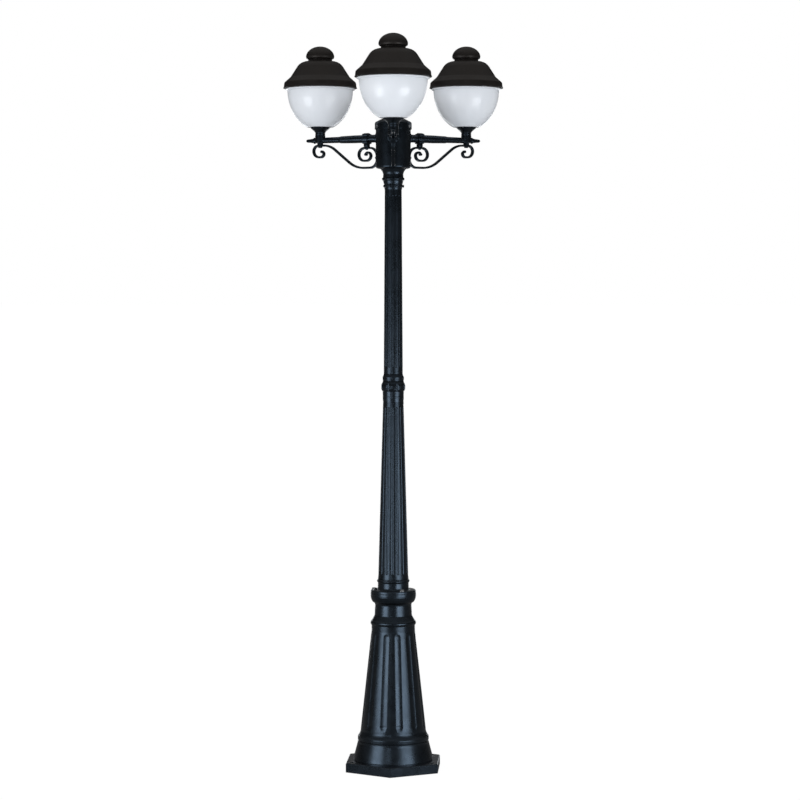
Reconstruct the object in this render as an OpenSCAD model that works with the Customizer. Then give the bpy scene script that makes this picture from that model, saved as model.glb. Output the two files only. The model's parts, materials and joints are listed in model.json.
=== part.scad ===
// Three-head garden post light: a hexagonal plate, a fluted bell base with a
// service door, two fluted columns, a hub and three scroll-braced arms, each
// with a frosted globe under a mushroom canopy.
// Millimetres. The origin is on the ground at the post's axis, +Z is up, and
// the front arm points to -Y.

/* [Plate] */
// Distance from the post's axis to each corner of the hexagonal plate
plate_corner_r = 175; // [170:1:190]
// Thickness of the plate
plate_t = 30.5; // [26:0.5:36]
// Bevel along the plate's top edges
plate_bevel = 2.5; // [1:0.5:5]
// Turn of the base and columns about the post's axis, against the arms
base_turn = 3.4; // [0:0.1:10]
// Diameter of the circle of anchor holes
anchor_pcd = 304; // [298:1:308]
// Number of anchor holes, one in each or every other corner
anchor_count = 3; // [3, 6]
// Diameter of each anchor hole
anchor_hole_d = 14; // [10:1:16]
// Diameter of the hole that the supply cable comes up through
cable_hole_d = 60; // [50:1:66]
// Diameter of the opening in the cable hole's rubber grommet
grommet_bore_d = 40; // [30:1:42]

/* [Bell] */
// Radius of the bell at its foot
bell_foot_r = 132; // [128:1:134]
// Radius of the bell just above its low ring
bell_low_r = 107.5; // [104:0.5:110]
// Radius of the bell just under its high ring
bell_top_r = 72; // [70:0.5:75]
// Radius of the bell's neck
bell_neck_r = 61; // [60:0.5:63]
// Radius of the collar at the top of the bell
collar_r = 75.5; // [74:0.5:80]
// Height of the bell from the plate to the collar's top
bell_h = 555.5; // [530:0.5:600]
// Thickness of the bell's wall
bell_wall = 6; // [5:0.5:8]
// Number of flutes round the bell, less the two that make room for the door
bell_flutes = 12; // [8:2:12]
// Width of each of the bell's flutes
bell_flute_w = 25; // [18:0.5:28]
// Depth of each of the bell's flutes
bell_flute_depth = 1.8; // [1.2:0.1:2.6]

/* [Service door] */
// Width of the service door
door_w = 86; // [70:1:92]
// Height of the service door
door_h = 150; // [130:1:170]
// Height of the door's centre above the plate
door_z = 240; // [225:1:255]
// Gap round the door
door_gap = 1.5; // [1.2:0.1:2.5]
// Radius of the hinge's barrels
hinge_r = 5; // [4:0.5:6]
// Radius of the hinge's pin
hinge_pin_r = 2; // [1.5:0.1:2.5]
// Radius of the lock's barrel
lock_r = 8; // [6:0.5:9]

/* [Columns] */
// Height of the lower column
lower_h = 650; // [600:1:750]
// Radius of the lower column's shaft at its foot
lower_foot_r = 49.6; // [47:0.1:52]
// Radius of the lower column's shaft at its head
lower_head_r = 33.9; // [33:0.1:36]
// Height of the lobed knuckle between the columns
knuckle_h = 74; // [68:1:84]
// Largest radius of the knuckle
knuckle_r = 39.8; // [38.5:0.1:43]
// Number of lobes round the knuckle
knuckle_lobes = 8; // [6:1:12]
// Height of the upper column
upper_h = 606; // [550:1:700]
// Radius of the upper column's shaft at its foot
upper_foot_r = 31.5; // [31:0.1:33]
// Radius of the upper column's shaft at its head
upper_head_r = 28; // [27.5:0.1:29.5]
// Thickness of the columns' walls
column_wall = 5; // [4:0.5:6]
// Number of flutes round each column
column_flutes = 16; // [12:2:18]
// Width of the lower column's flutes at their foot
lower_flute_w = 8.6; // [6:0.2:9.4]
// Width of the upper column's flutes at their foot
upper_flute_w = 6; // [4:0.2:6.6]
// Depth of the columns' flutes
column_flute_depth = 1.6; // [0.8:0.1:2]
// Height of the turned collar under the hub
neck_h = 68; // [64:1:76]

/* [Hub] */
// Radius of the hub's drum
hub_r = 57.5; // [55:0.5:62]
// Height of the hub's drum
hub_h = 146; // [140:1:160]
// Thickness of the drum's wall
hub_wall = 7; // [5:0.5:9]
// Radius of the cap over the drum
cap_r = 60.8; // [60:0.1:64]
// Height of the cap's dome above the drum
cap_dome_h = 27; // [20:1:34]
// Length of the cap's skirt down the drum
cap_skirt = 16; // [12:1:20]

/* [Arms] */
// Distance from the post's axis to each lamp's axis
arm_reach = 282; // [270:1:310]
// Height of the arms' axis above the bottom of the hub
arm_rise = 102.5; // [98:0.5:108]
// Radius of an arm next to the hub
arm_r = 13; // [12:0.5:14]
// Radius of an arm next to its lamp
arm_thin_r = 9.7; // [9:0.1:10.5]
// Radius of the eye that holds the lamp's stem
eye_r = 17; // [16:0.5:19]
// Length of the pointed tip beyond the lamp's axis
tip_length = 54.5; // [45:0.5:62]
// Distance from the post's axis to the collar on each arm
collar_reach = 101; // [98:1:106]

/* [Scrolls] */
// Width of the scrolls' strap
strap_w = 12; // [10:0.5:14]
// Thickness of the scrolls' strap
strap_t = 7; // [6:0.5:8]
// Fall of the scroll's centre line from the lamp's stem to its lowest point
scroll_fall = 78.4; // [74:0.2:84]
// Steepest slope of the scroll
scroll_slope = 38; // [34:1:42]

/* [Lamps] */
// Radius of the gallery's rim
gallery_rim_r = 34.5; // [33:0.5:37]
// Height of the gallery above the arm's eye
gallery_h = 27; // [25:0.5:30]
// Radius of the globe's neck
globe_neck_r = 24.7; // [24:0.1:25]
// Largest radius of the globe
globe_r = 109.5; // [104:0.5:110]
// Height of the globe above the gallery's rim
globe_h = 127.5; // [118:0.5:140]
// Thickness of the globe's wall
globe_wall = 3; // [2:0.5:4]
// Radius of the globe's flange
flange_r = 116.5; // [115.5:0.5:117]
// Radius of the bulb's glass
bulb_r = 30; // [25:0.5:32]
// Radius of the canopy at its rim
canopy_r = 123.5; // [122.5:0.5:130]
// Height of the canopy from its rim to its crown
canopy_h = 89; // [82:0.5:100]
// Thickness of the canopy's metal
canopy_t = 2; // [1.5:0.5:2.5]
// Radius of the finial's cap
finial_r = 47.4; // [44:0.1:52]
// Height of the finial
finial_h = 50; // [45:0.5:58]

/* [Hidden] */
$fn = 72;
// Arms, evenly round the hub
arm_count = 3;
// Clearances: in round seats, of running shafts and between parts that lift apart
seat_gap = 0.1;
running_gap = 0.05;
rest_gap = 0.3;
// How far a cutter passes the face that it opens
past = 1;

// Levels above the ground, each stacked on the one before
z_bell = plate_t;
z_lower = z_bell + bell_h;
z_knuckle = z_lower + lower_h;
z_upper = z_knuckle + knuckle_h;
z_neck = z_upper + upper_h;
z_hub = z_neck + neck_h;
z_arm = z_hub + arm_rise;

// Places along the bell, from the plate for the foot and from the top for the rest
cone_z0 = 105;
ring_z = bell_h - 98;
cone_z1 = ring_z - 28;
neck_z = bell_h - 74;
flute_z0 = cone_z0 + 22;
flute_z1 = cone_z1 - 14;
bell_bore_r = bell_neck_r - bell_wall - 1;
cone_slope = atan((bell_low_r - bell_top_r) / (cone_z1 - cone_z0));
function bell_r(z) = bell_low_r + (bell_top_r - bell_low_r) * (z - cone_z0) / (cone_z1 - cone_z0);

// Bolts through the plate into lugs inside the bell's foot
lug_r = 12.4;
lug_reach = bell_foot_r - 0.7 * bell_wall - lug_r;
lug_h = 18;
base_bolt_r = 4;
base_bolt_head_r = 7.5;
base_bolt_head_h = 8;
base_bolt_grip = 12;

// The door leans with its hinge, whose axis runs along the bell's wall
hinge_x = door_w / 2 + 6;
hinge_surface_y = sqrt(pow(bell_r(door_z), 2) - pow(hinge_x, 2));
door_lean = atan(tan(cone_slope) * bell_r(door_z) / hinge_surface_y);
hinge_az = asin(hinge_x / bell_r(door_z));
hinge_out = 3;
hinge_y = hinge_surface_y + hinge_out * cos(hinge_az);
knuckle_len = 18;
door_knuckle_len = 40;
hinge_end_gap = 0.4;
pin_head_r = hinge_pin_r + 1.2;
pin_head_h = 1.5;
pin_half = door_knuckle_len / 2 + knuckle_len + hinge_end_gap;
leaf_t = 3;
leaf_reach = 18;
// The lock sits near the door's free edge, and its tongue reaches behind the bell's wall
lock_az = asin((door_w / 2 - 14) / bell_r(door_z));
lock_reach = (14 + door_gap) / cos(hinge_az) + 7;
lock_tongue_w = 10;
lock_tongue_t = 2.5;
lock_depth = bell_wall + pow(lock_reach, 2) / (2 * (bell_r(door_z) - bell_wall)) + 1;
lock_head_r = lock_r + 2;
lock_head_h = 3;

// Terminal block on its bracket, facing the door
bracket_w = 40;
bracket_t = 4;
bracket_y = -cable_hole_d / 2 - 10;
bracket_foot = 32;
bracket_h = door_z + 60;
block_w = 60;
block_h = 70;
block_d = 32;
bracket_bolt_r = 2.5;
bracket_bolt_head_r = 4.5;
bracket_bolt_head_h = 3.5;

// Foot flange of the lower column and its bolts
flange_t = 10;
column_bolt_reach = 63;
column_bolt_r = 4;
column_bolt_flats = 13;
column_bolt_head_h = 5.5;
column_bolt_grip = 18;
column_spigot_h = 40;

// Shafts and spigots of the columns
shaft_foot = 59;
shaft_head = 18;
function lower_shaft_r(z) = lower_foot_r
    + (lower_head_r - lower_foot_r) * (z - shaft_foot) / (lower_h - shaft_head - shaft_foot);
function upper_shaft_r(z) = upper_foot_r + (upper_head_r - upper_foot_r) * z / upper_h;
knuckle_bore_r = 20;
lower_socket_r = lower_head_r - 6.9;
lower_socket_h = 34;
upper_tenon_r = 26.9;
upper_tenon_h = 34;
neck_bore_r = 24;
upper_head_tenon_h = neck_h - 8;
set_screw_r = 3;
set_screw_head_r = 5;
set_screw_head_h = 2.4;
set_screw_len = 6;
knuckle_screw_drop = 23;
neck_screw_z = 12;
neck_screw_turn = -20;

// Hub floor, its bolts and the cap's screws
hub_floor = 8;
hub_bolt_reach = 30;
hub_bolt_r = 3;
hub_bolt_head_r = 5;
hub_bolt_head_h = 4;
hub_bolt_grip = 10;
hub_wire_r = 16;
hub_block_w = 48;
hub_block_d = 17;
hub_block_h = 20;
hub_block_y = hub_r - hub_wall - 11.5 - hub_block_d;
cap_t = 3;
cap_screw_r = 2.5;
cap_screw_head_r = 5;
cap_screw_head_h = 3;

// Arms
arm_bore_r = 5;
spigot_r = 9;
spigot_in = hub_wall + 10;
locknut_r = 15;
locknut_t = 6;
locknut_seat = sqrt(pow(hub_r - hub_wall, 2) - pow(locknut_r, 2)) - running_gap;
arm_root_r = 20;
stem_r = 7;
eye_up = 17.5;
eye_down = 7.5;
pad_r = 10;
pad_down = 13.5;
collar_len = 23;
collar_ring_r = 19;
collar_lobe_r = 5;
collar_lug_w = 16;
collar_drop = 26.5;

// Scroll: quarter turns and straights, from the seat under the lamp's stem
seat_u = -pad_down - strap_t / 2;
low_u = seat_u - scroll_fall;
inner_top_u = -collar_drop - strap_t / 2;
hub_side_r = hub_r + seat_gap + strap_t / 2;
corner_low = 26;
corner_high = 28;
seat_flat = 14;
low_flat = 25.5;
// Two bends and the slope between them, which together make the scroll's run and its fall
scroll_run = arm_reach - seat_flat - low_flat - corner_low - hub_side_r;
bends = (scroll_run * sin(scroll_slope) - scroll_fall * cos(scroll_slope)) / (1 - cos(scroll_slope));
slope_run = scroll_fall * sin(scroll_slope) / (1 - cos(scroll_slope)) - scroll_run;
bend_out = bends * 7 / 16;
bend_in = bends * 9 / 16;
hub_side_run = inner_top_u - low_u - corner_low - corner_high;
top_flat = collar_reach + 8 - hub_side_r - corner_high;
scroll_bolt_r = 4;
scroll_bolt_head_r = 7;
scroll_bolt_head_h = 4;
scroll_screw_r = 2.5;
scroll_screw_head_r = 4.5;
scroll_screw_head_h = 3;
hub_screw_u = low_u + corner_low + hub_side_run / 2;

// Lamps, in heights above the arm's axis
gallery_rim_u = eye_up + gallery_h;
gallery_floor_u = gallery_rim_u - 17.5;
neck_seat_u = gallery_rim_u - 8;
gallery_neck_r = globe_neck_r + 0.3;
holder_base_r = 15.7;
seal_t = 1.5;
gallery_screw_u = gallery_rim_u - 4.5;
gallery_screw_r = 1.5;
gallery_screw_head_r = 2;
gallery_screw_head_h = 2;
gallery_screw_seat_r = gallery_rim_r - 1.8;
holder_r = 19.5;
holder_top_u = gallery_rim_u + 27.5;
socket_r = 13.4;
socket_depth = 26;
bulb_base_r = 13;
bulb_neck_h = 10;
bulb_u = holder_top_u + bulb_neck_h + bulb_r - 3;
flange_u = gallery_rim_u + globe_h;
flange_t_glass = 3;
gasket_t = 2;
bridge_w = 18;
stud_r = 4;
rim_u = flange_u + gasket_t + rest_gap;
crown_u = rim_u + canopy_h;
crown_hole_r = 5.5;
finial_top_u = crown_u + finial_h;
finial_bore_r = 4.4;
finial_t = 3;
stud_top_u = crown_u + finial_h * 0.5;

// Points of an arc about a centre
function arc(centre, r, from, to, steps = 8) = [
    for (i = [0:steps]) let (a = from + (to - from) * i / steps) centre + r * [cos(a), sin(a)]
];
// Heading of a line of points at one of them
function heading(pts, i) = let (d = pts[min(i + 1, len(pts) - 1)] - pts[max(i - 1, 0)]) d / norm(d);
// A line of points moved to its right by a distance
function beside(pts, by) = [
    for (i = [0:len(pts) - 1]) let (h = heading(pts, i)) pts[i] + by * [h[1], -h[0]]
];
function reversed(pts) = [for (i = [len(pts) - 1:-1:0]) pts[i]];
// Walks moves of [length] or [radius, turn] from a point and an angle; a positive turn goes left
function walk(moves, at, angle, i = 0) =
    i == len(moves) ? [at]
    : let (m = moves[i])
    len(m) == 1
        ? concat([at], walk(moves, at + m[0] * [cos(angle), sin(angle)], angle, i + 1))
        : let (
            side = sign(m[1]),
            centre = at + side * m[0] * [-sin(angle), cos(angle)],
            from = angle - side * 90,
            pts = arc(centre, m[0], from, from + m[1], max(3, ceil(abs(m[1]) / 9)))
        )
        concat([for (k = [0:len(pts) - 2]) pts[k]], walk(moves, pts[len(pts) - 1], angle + m[1], i + 1));
// Centre and radius of the round cutter that opens a flute of a width and depth in a surface
function flute_r(w, depth) = (w * w / 4 + depth * depth) / (2 * depth);

/* Frames */
module in_base() { rotate([0, 0, -base_turn]) children(); }
module on_bell(az, z) {
    rotate([0, 0, -az]) translate([0, bell_r(z), z_bell + z]) rotate([cone_slope - 90, 0, 0])
        rotate([0, 0, 180]) children();
}
module at_hinge() {
    in_base() translate([-hinge_x, hinge_y, z_bell + door_z]) rotate([door_lean, 0, 0])
        rotate([0, 0, hinge_az]) children();
}
module at_lock() { in_base() on_bell(lock_az, door_z) children(); }
module at_door(gap = 0) {
    in_base() translate([0, 0, z_bell + door_z]) rotate([door_lean, 0, 0])
        translate([-door_w / 2 - gap, bell_r(door_z) / 2, -door_h / 2 - gap])
            cube([door_w + 2 * gap, bell_r(door_z), door_h + 2 * gap]);
}
module round_post(count, reach, turn = 0) {
    for (i = [0:count - 1]) rotate([0, 0, turn + 360 * i / count]) translate([reach, 0, 0]) children();
}
module on_arm(i) { rotate([0, 0, -90 + 360 * i / arm_count]) translate([0, 0, z_arm]) children(); }
module on_lamp(i) { on_arm(i) translate([arm_reach, 0, 0]) children(); }
module on_all_arms() { for (i = [0:arm_count - 1]) on_arm(i) children(); }
module on_all_lamps() { for (i = [0:arm_count - 1]) on_lamp(i) children(); }

/* Shapes that repeat */
module turned(pts) { rotate_extrude() polygon(pts); }
module tube(r, bore, h) {
    difference() {
        cylinder(r = r, h = h);
        translate([0, 0, -past]) cylinder(r = bore, h = h + 2 * past);
    }
}
module hex_head(flats, h) { cylinder(r = flats / sqrt(3), h = h, $fn = 6); }
module dome_screw(shank_r, shank_len, head_r, head_h) {
    translate([0, 0, -shank_len]) cylinder(r = shank_r, h = shank_len + 0.5);
    turned(concat([[0, 0]], arc([head_r - head_h, 0], head_h, 0, 90, 5), [[0, head_h]]));
}
// Cutter for one round-ended flute, up +Z
module groove(cut0, cut1, run) {
    turned(concat(arc([0, 0], cut0, -90, 0, 4), arc([0, run], cut1, 0, 90, 4)));
}
// Cutters for flutes along a cone, from one height and radius to another; the first is turned from
// the front by a share of the flutes' spacing
module flutes(count, first, z0, r0, z1, r1, w0, w1, depth, skip = []) {
    cut0 = flute_r(w0, depth);
    cut1 = flute_r(w1, depth);
    lean = atan((r0 + cut0 - r1 - cut1) / (z1 - z0));
    for (i = [0:count - 1])
        if (len(search(i, skip)) == 0)
            rotate([0, 0, -90 + 360 * (i + first) / count]) translate([r0 + cut0 - depth, 0, z0])
                rotate([0, -lean, 0]) groove(cut0, cut1, (z1 - z0) / cos(lean));
}

/* Base */
module base_plate() color([0.05, 0.06, 0.07]) in_base() difference() {
    rotate([0, 0, -90]) cylinder(r = plate_corner_r, h = plate_t, $fn = 6);
    for (i = [0:5])
        rotate([0, 0, 60 * i]) translate([plate_corner_r * cos(30), 0, plate_t])
            rotate([0, 45, 0])
                cube([plate_bevel * sqrt(2), 2 * plate_corner_r, plate_bevel * sqrt(2)], center = true);
    round_post(anchor_count, anchor_pcd / 2, 90)
        translate([0, 0, -past]) cylinder(d = anchor_hole_d, h = plate_t + 2 * past);
    translate([0, 0, -past]) cylinder(d = cable_hole_d, h = plate_t + 2 * past);
    round_post(6, lug_reach, 0) {
        translate([0, 0, -past]) cylinder(r = base_bolt_r + seat_gap, h = plate_t + 2 * past);
        translate([0, 0, -past]) cylinder(r = base_bolt_head_r + seat_gap, h = base_bolt_head_h + 3 + past);
    }
    for (s = [-1, 1])
        translate([s * bracket_w / 4, bracket_y - bracket_foot / 2, plate_t - 12])
            cylinder(r = bracket_bolt_r + seat_gap, h = 12 + past);
}
module base_bolts() color("silver") in_base() round_post(6, lug_reach, 0) {
    translate([0, 0, 3]) cylinder(r = base_bolt_head_r, h = base_bolt_head_h);
    translate([0, 0, 3]) cylinder(r = base_bolt_r, h = plate_t - 3 + base_bolt_grip);
}
module cable_grommet() color([0.03, 0.03, 0.03]) translate([0, 0, plate_t]) turned([
    [grommet_bore_d / 2, 3], [grommet_bore_d / 2, -plate_t + 4],
    [cable_hole_d / 2 - seat_gap, -plate_t + 4], [cable_hole_d / 2 - seat_gap, 0],
    [cable_hole_d / 2 + 5, 0], [cable_hole_d / 2 + 5, 3]
]);
module bell_shell() {
    outer = [
        [bell_foot_r, 0], [bell_foot_r, 5], [bell_foot_r - 2.2, 14], [bell_foot_r - 13.6, 57],
        [bell_low_r + 10.3, 62.5], [bell_low_r + 7.5, 65.5]
    ];
    low_band = [[bell_low_r + 10.2, 68], [bell_low_r + 10.2, 76]];
    cove = arc([bell_low_r + 37, 104.5], 37, 223, 190, 5);
    high_ring = arc([bell_top_r - 6.5, ring_z - 1.5], 10, -48, 55, 6);
    collar = [
        [bell_neck_r + 1.2, neck_z - 1.5], [bell_neck_r - 0.7, neck_z + 33],
        [bell_neck_r, neck_z + 38.5], [bell_neck_r + 8.3, neck_z + 45], [collar_r - 2.2, neck_z + 53],
        [collar_r - 0.3, neck_z + 61], [collar_r, bell_h - 7], [collar_r, bell_h - 1],
        [collar_r - 1, bell_h]
    ];
    inner = [
        [bell_bore_r, bell_h], [bell_bore_r, neck_z - 6], [bell_top_r - bell_wall - 1, cone_z1 + 4],
        [bell_top_r - bell_wall, cone_z1], [bell_low_r - bell_wall, cone_z0],
        [bell_low_r + 3 - bell_wall, 85], [bell_foot_r - 14 - bell_wall, 56],
        [bell_foot_r - 4 - bell_wall, 25], [bell_foot_r - bell_wall, 0]
    ];
    translate([0, 0, z_bell]) difference() {
        turned(concat(outer, low_band, cove, [[bell_low_r, cone_z0], [bell_top_r, cone_z1],
            [bell_top_r, ring_z - 9.2]], high_ring, [[bell_neck_r + 5, neck_z - 8]], collar, inner));
        flutes(bell_flutes, 0.5, flute_z0, bell_r(flute_z0), flute_z1, bell_r(flute_z1), bell_flute_w,
            bell_flute_w * 0.94, bell_flute_depth, [bell_flutes / 2 - 1, bell_flutes / 2]);
    }
}
module base_bell() color([0.06, 0.07, 0.09]) difference() {
    union() {
        in_base() bell_shell();
        in_base() round_post(6, lug_reach, 0) translate([0, 0, z_bell + rest_gap])
            cylinder(r = lug_r, h = lug_h);
        for (s = [-1, 1])
            at_hinge() translate([0, 0, s * (door_knuckle_len + knuckle_len + 2 * hinge_end_gap) / 2])
                cylinder(r = hinge_r, h = knuckle_len, center = true);
    }
    at_door(door_gap);
    at_hinge() cylinder(r = hinge_pin_r + running_gap, h = door_h, center = true);
    at_hinge() cylinder(r = hinge_r + door_gap, h = door_knuckle_len + 2 * hinge_end_gap, center = true);
    for (s = [-1, 1]) at_hinge() translate([0, 0, s * (pin_half + pin_head_h / 2 + 0.3)])
        cylinder(r = pin_head_r + rest_gap, h = pin_head_h + 1, center = true);
    in_base() round_post(6, lug_reach, 0) translate([0, 0, z_bell - past])
        cylinder(r = base_bolt_r + seat_gap, h = base_bolt_grip + 2 + past);
    in_base() round_post(3, column_bolt_reach, -60) translate([0, 0, z_lower - column_bolt_grip - 2])
        cylinder(r = column_bolt_r + seat_gap, h = column_bolt_grip + 2 + past);
}
module service_door() color([0.06, 0.07, 0.09]) difference() {
    union() {
        intersection() {
            in_base() bell_shell();
            at_door();
        }
        at_hinge() {
            cylinder(r = hinge_r, h = door_knuckle_len, center = true);
            translate([0, -1, -door_knuckle_len / 2]) cube([leaf_reach, leaf_t, door_knuckle_len]);
            translate([8, -6, -door_knuckle_len / 2]) cube([leaf_reach - 8, 6, door_knuckle_len]);
        }
    }
    at_hinge() cylinder(r = hinge_pin_r + running_gap, h = door_h, center = true);
    at_lock() translate([0, 0, -2 * bell_wall]) cylinder(r = lock_r + running_gap, h = 4 * bell_wall);
}
module door_hinge_pin() color("silver") at_hinge() {
    cylinder(r = hinge_pin_r, h = 2 * pin_half + 2, center = true);
    for (s = [-1, 1]) translate([0, 0, s * (pin_half + 0.1 + pin_head_h / 2)])
        cylinder(r = pin_head_r, h = pin_head_h, center = true);
}
module door_lock() color("silver") at_lock() difference() {
    union() {
        translate([0, 0, -lock_depth]) cylinder(r = lock_r, h = lock_depth + 1);
        translate([0, 0, rest_gap + 0.2]) cylinder(r = lock_head_r, h = lock_head_h);
        translate([0, 0, -lock_depth]) cylinder(r = lock_head_r, h = lock_depth - bell_wall - 1.2);
        translate([-lock_tongue_w / 2, -lock_reach, -lock_depth - lock_tongue_t])
            cube([lock_tongue_w, lock_reach + lock_r, lock_tongue_t]);
    }
    translate([0, 0, lock_head_h - 3]) cylinder(r = 5, h = 6, $fn = 3);
}
module terminal_bracket() color([0.7, 0.7, 0.7]) in_base() difference() {
    translate([-bracket_w / 2, bracket_y - bracket_foot, z_bell]) {
        cube([bracket_w, bracket_foot, bracket_t]);
        translate([0, bracket_foot - bracket_t, 0]) cube([bracket_w, bracket_t, bracket_h]);
    }
    for (s = [-1, 1]) {
        translate([s * bracket_w / 4, bracket_y - bracket_foot / 2, z_bell - past])
            cylinder(r = bracket_bolt_r + seat_gap, h = bracket_t + 2 * past);
        translate([0, bracket_y + past, z_bell + door_z + s * block_h / 4]) rotate([90, 0, 0])
            cylinder(r = bracket_bolt_r + seat_gap, h = bracket_t + 2 * past);
    }
}
module terminal_block() color([0.9, 0.9, 0.86]) in_base() difference() {
    translate([-block_w / 2, bracket_y, z_bell + door_z - block_h / 2]) cube([block_w, block_d, block_h]);
    for (i = [-2:2])
        translate([i * 11, bracket_y + block_d - 6, z_bell + door_z - block_h / 2 - past])
            cylinder(r = 3.5, h = block_h + 2 * past);
    for (s = [-1, 1])
        translate([0, bracket_y - past, z_bell + door_z + s * block_h / 4]) rotate([-90, 0, 0])
            cylinder(r = bracket_bolt_r + seat_gap, h = 12 + past);
}
module bracket_screws() color("silver") in_base() for (s = [-1, 1]) {
    translate([s * bracket_w / 4, bracket_y - bracket_foot / 2, z_bell + bracket_t])
        dome_screw(bracket_bolt_r, bracket_t + 10, bracket_bolt_head_r, bracket_bolt_head_h);
    translate([0, bracket_y - bracket_t, z_bell + door_z + s * block_h / 4]) rotate([90, 0, 0])
        dome_screw(bracket_bolt_r, bracket_t + 10, bracket_bolt_head_r, bracket_bolt_head_h);
}
module column_bolts() color("silver") in_base() round_post(3, column_bolt_reach, -60) {
    translate([0, 0, z_lower + flange_t]) hex_head(column_bolt_flats, column_bolt_head_h);
    translate([0, 0, z_lower - column_bolt_grip])
        cylinder(r = column_bolt_r, h = column_bolt_grip + flange_t + 1);
}

/* Columns */
module lower_column() color([0.05, 0.06, 0.08]) in_base() translate([0, 0, z_lower]) difference() {
    spigot_r = bell_bore_r - seat_gap;
    foot_r = lower_foot_r + 2;
    turned(concat(
        [[spigot_r, -column_spigot_h], [spigot_r, 0], [collar_r - 0.7, 0], [collar_r - 0.7, flange_t - 3],
            [collar_r - 3.5, flange_t], [foot_r + 3, flange_t], [foot_r, flange_t + 5], [foot_r - 0.5, 32]],
        arc([lower_foot_r - 0.5, 39], 5, -60, 60, 6),
        [[foot_r - 0.8, 47], [lower_foot_r, shaft_foot], [lower_head_r, lower_h - shaft_head],
            [lower_head_r + 1, lower_h - 8], [lower_head_r + 1, lower_h], [lower_socket_r, lower_h],
            [lower_socket_r, lower_h - lower_socket_h],
            [lower_head_r - column_wall, lower_h - lower_socket_h - 8],
            [lower_foot_r - column_wall, shaft_foot], [spigot_r - column_wall, -column_spigot_h]]));
    flutes(column_flutes, 0, 66, lower_shaft_r(66), lower_h - 38, lower_shaft_r(lower_h - 38), lower_flute_w,
        lower_flute_w * 0.8, column_flute_depth);
    round_post(3, column_bolt_reach, -60) translate([0, 0, -past])
        cylinder(r = column_bolt_r + seat_gap, h = flange_t + 2 * past);
    round_post(3, 0, -90) translate([0, 0, lower_h - knuckle_screw_drop]) rotate([0, 90, 0])
        cylinder(r = set_screw_r + seat_gap, h = lower_head_r + 5);
}
module mid_knuckle() color([0.06, 0.07, 0.08]) in_base() translate([0, 0, z_knuckle]) difference() {
    turned([
        [lower_socket_r - seat_gap, -30], [lower_socket_r - seat_gap, 0], [lower_head_r + 0.8, 0],
        [lower_head_r + 1.3, 14], [knuckle_r - 4.5, 16], [knuckle_r - 1.2, 21], [knuckle_r, 26],
        [knuckle_r, 36], [knuckle_r - 1.2, 41], [knuckle_r - 4.5, 47], [lower_head_r + 0.5, 52],
        [lower_head_r + 1.5, 57], [lower_head_r + 1.5, 64], [upper_foot_r + 0.8, knuckle_h - 4],
        [upper_foot_r + 0.3, knuckle_h],
        [upper_tenon_r + seat_gap, knuckle_h], [upper_tenon_r + seat_gap, knuckle_h - upper_tenon_h],
        [knuckle_bore_r, knuckle_h - upper_tenon_h], [knuckle_bore_r, -30]
    ]);
    for (i = [0:knuckle_lobes - 1])
        rotate([0, 0, -90 + 360 * (i + 0.5) / knuckle_lobes]) translate([knuckle_r + 3.2, 0, 12])
            cylinder(r = 6, h = 38);
    round_post(3, 0, -90) translate([0, 0, -knuckle_screw_drop]) rotate([0, 90, 0])
        cylinder(r = set_screw_r + seat_gap, h = lower_socket_r + 5);
}
module upper_column() color([0.05, 0.06, 0.07]) in_base() translate([0, 0, z_upper]) difference() {
    head_tenon_r = neck_bore_r - seat_gap;
    turned([
        [upper_tenon_r, -upper_tenon_h], [upper_tenon_r, 0], [upper_foot_r, 0], [upper_head_r, upper_h],
        [head_tenon_r, upper_h], [head_tenon_r, upper_h + upper_head_tenon_h],
        [head_tenon_r - 3.5, upper_h + upper_head_tenon_h], [head_tenon_r - 3.5, upper_h],
        [upper_head_r - column_wall, upper_h - 30], [upper_tenon_r - 3.5, 30],
        [upper_tenon_r - 3.5, -upper_tenon_h]
    ]);
    flutes(column_flutes, 0, 24, upper_shaft_r(24), upper_h - 22, upper_shaft_r(upper_h - 22),
        upper_flute_w, upper_flute_w * 0.9, column_flute_depth * 0.8);
    round_post(3, 0, -90 + neck_screw_turn) translate([0, 0, upper_h + neck_screw_z]) rotate([0, 90, 0])
        cylinder(r = set_screw_r + seat_gap, h = neck_bore_r + 5);
}
module neck_collar() color([0.06, 0.07, 0.08]) in_base() translate([0, 0, z_neck]) difference() {
    turned(concat(
        [[upper_head_r + 0.5, 0], [upper_head_r + 1.3, 5]],
        arc([upper_head_r + 0.4, neck_screw_z], 5, -70, 70, 6),
        [[upper_head_r + 3.6, 21], [upper_head_r + 5, 28]],
        arc([upper_head_r + 3.9, 35], 5.5, -70, 70, 6),
        [[upper_head_r + 5.6, 44], [upper_head_r + 5.2, 51], [upper_head_r + 7.2, neck_h - 10],
            [hub_r - 15.5, neck_h], [neck_bore_r, neck_h], [neck_bore_r, 0]]));
    round_post(3, 0, -90 + neck_screw_turn) translate([0, 0, neck_screw_z]) rotate([0, 90, 0])
        cylinder(r = set_screw_r + seat_gap, h = neck_bore_r + 15);
    rotate([0, 0, base_turn]) round_post(3, hub_bolt_reach, 30)
        translate([0, 0, neck_h - hub_bolt_grip - 2])
            cylinder(r = hub_bolt_r + seat_gap, h = hub_bolt_grip + 2 + past);
}
module set_screws() color("silver") in_base() {
    round_post(3, lower_head_r + 0.9, -90) translate([0, 0, z_knuckle - knuckle_screw_drop])
        rotate([0, 90, 0]) dome_screw(set_screw_r, set_screw_len + 2, set_screw_head_r, set_screw_head_h);
    round_post(3, upper_head_r + 5.4, -90 + neck_screw_turn) translate([0, 0, z_neck + neck_screw_z])
        rotate([0, 90, 0]) dome_screw(set_screw_r, set_screw_len + 5, set_screw_head_r, set_screw_head_h);
}

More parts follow.
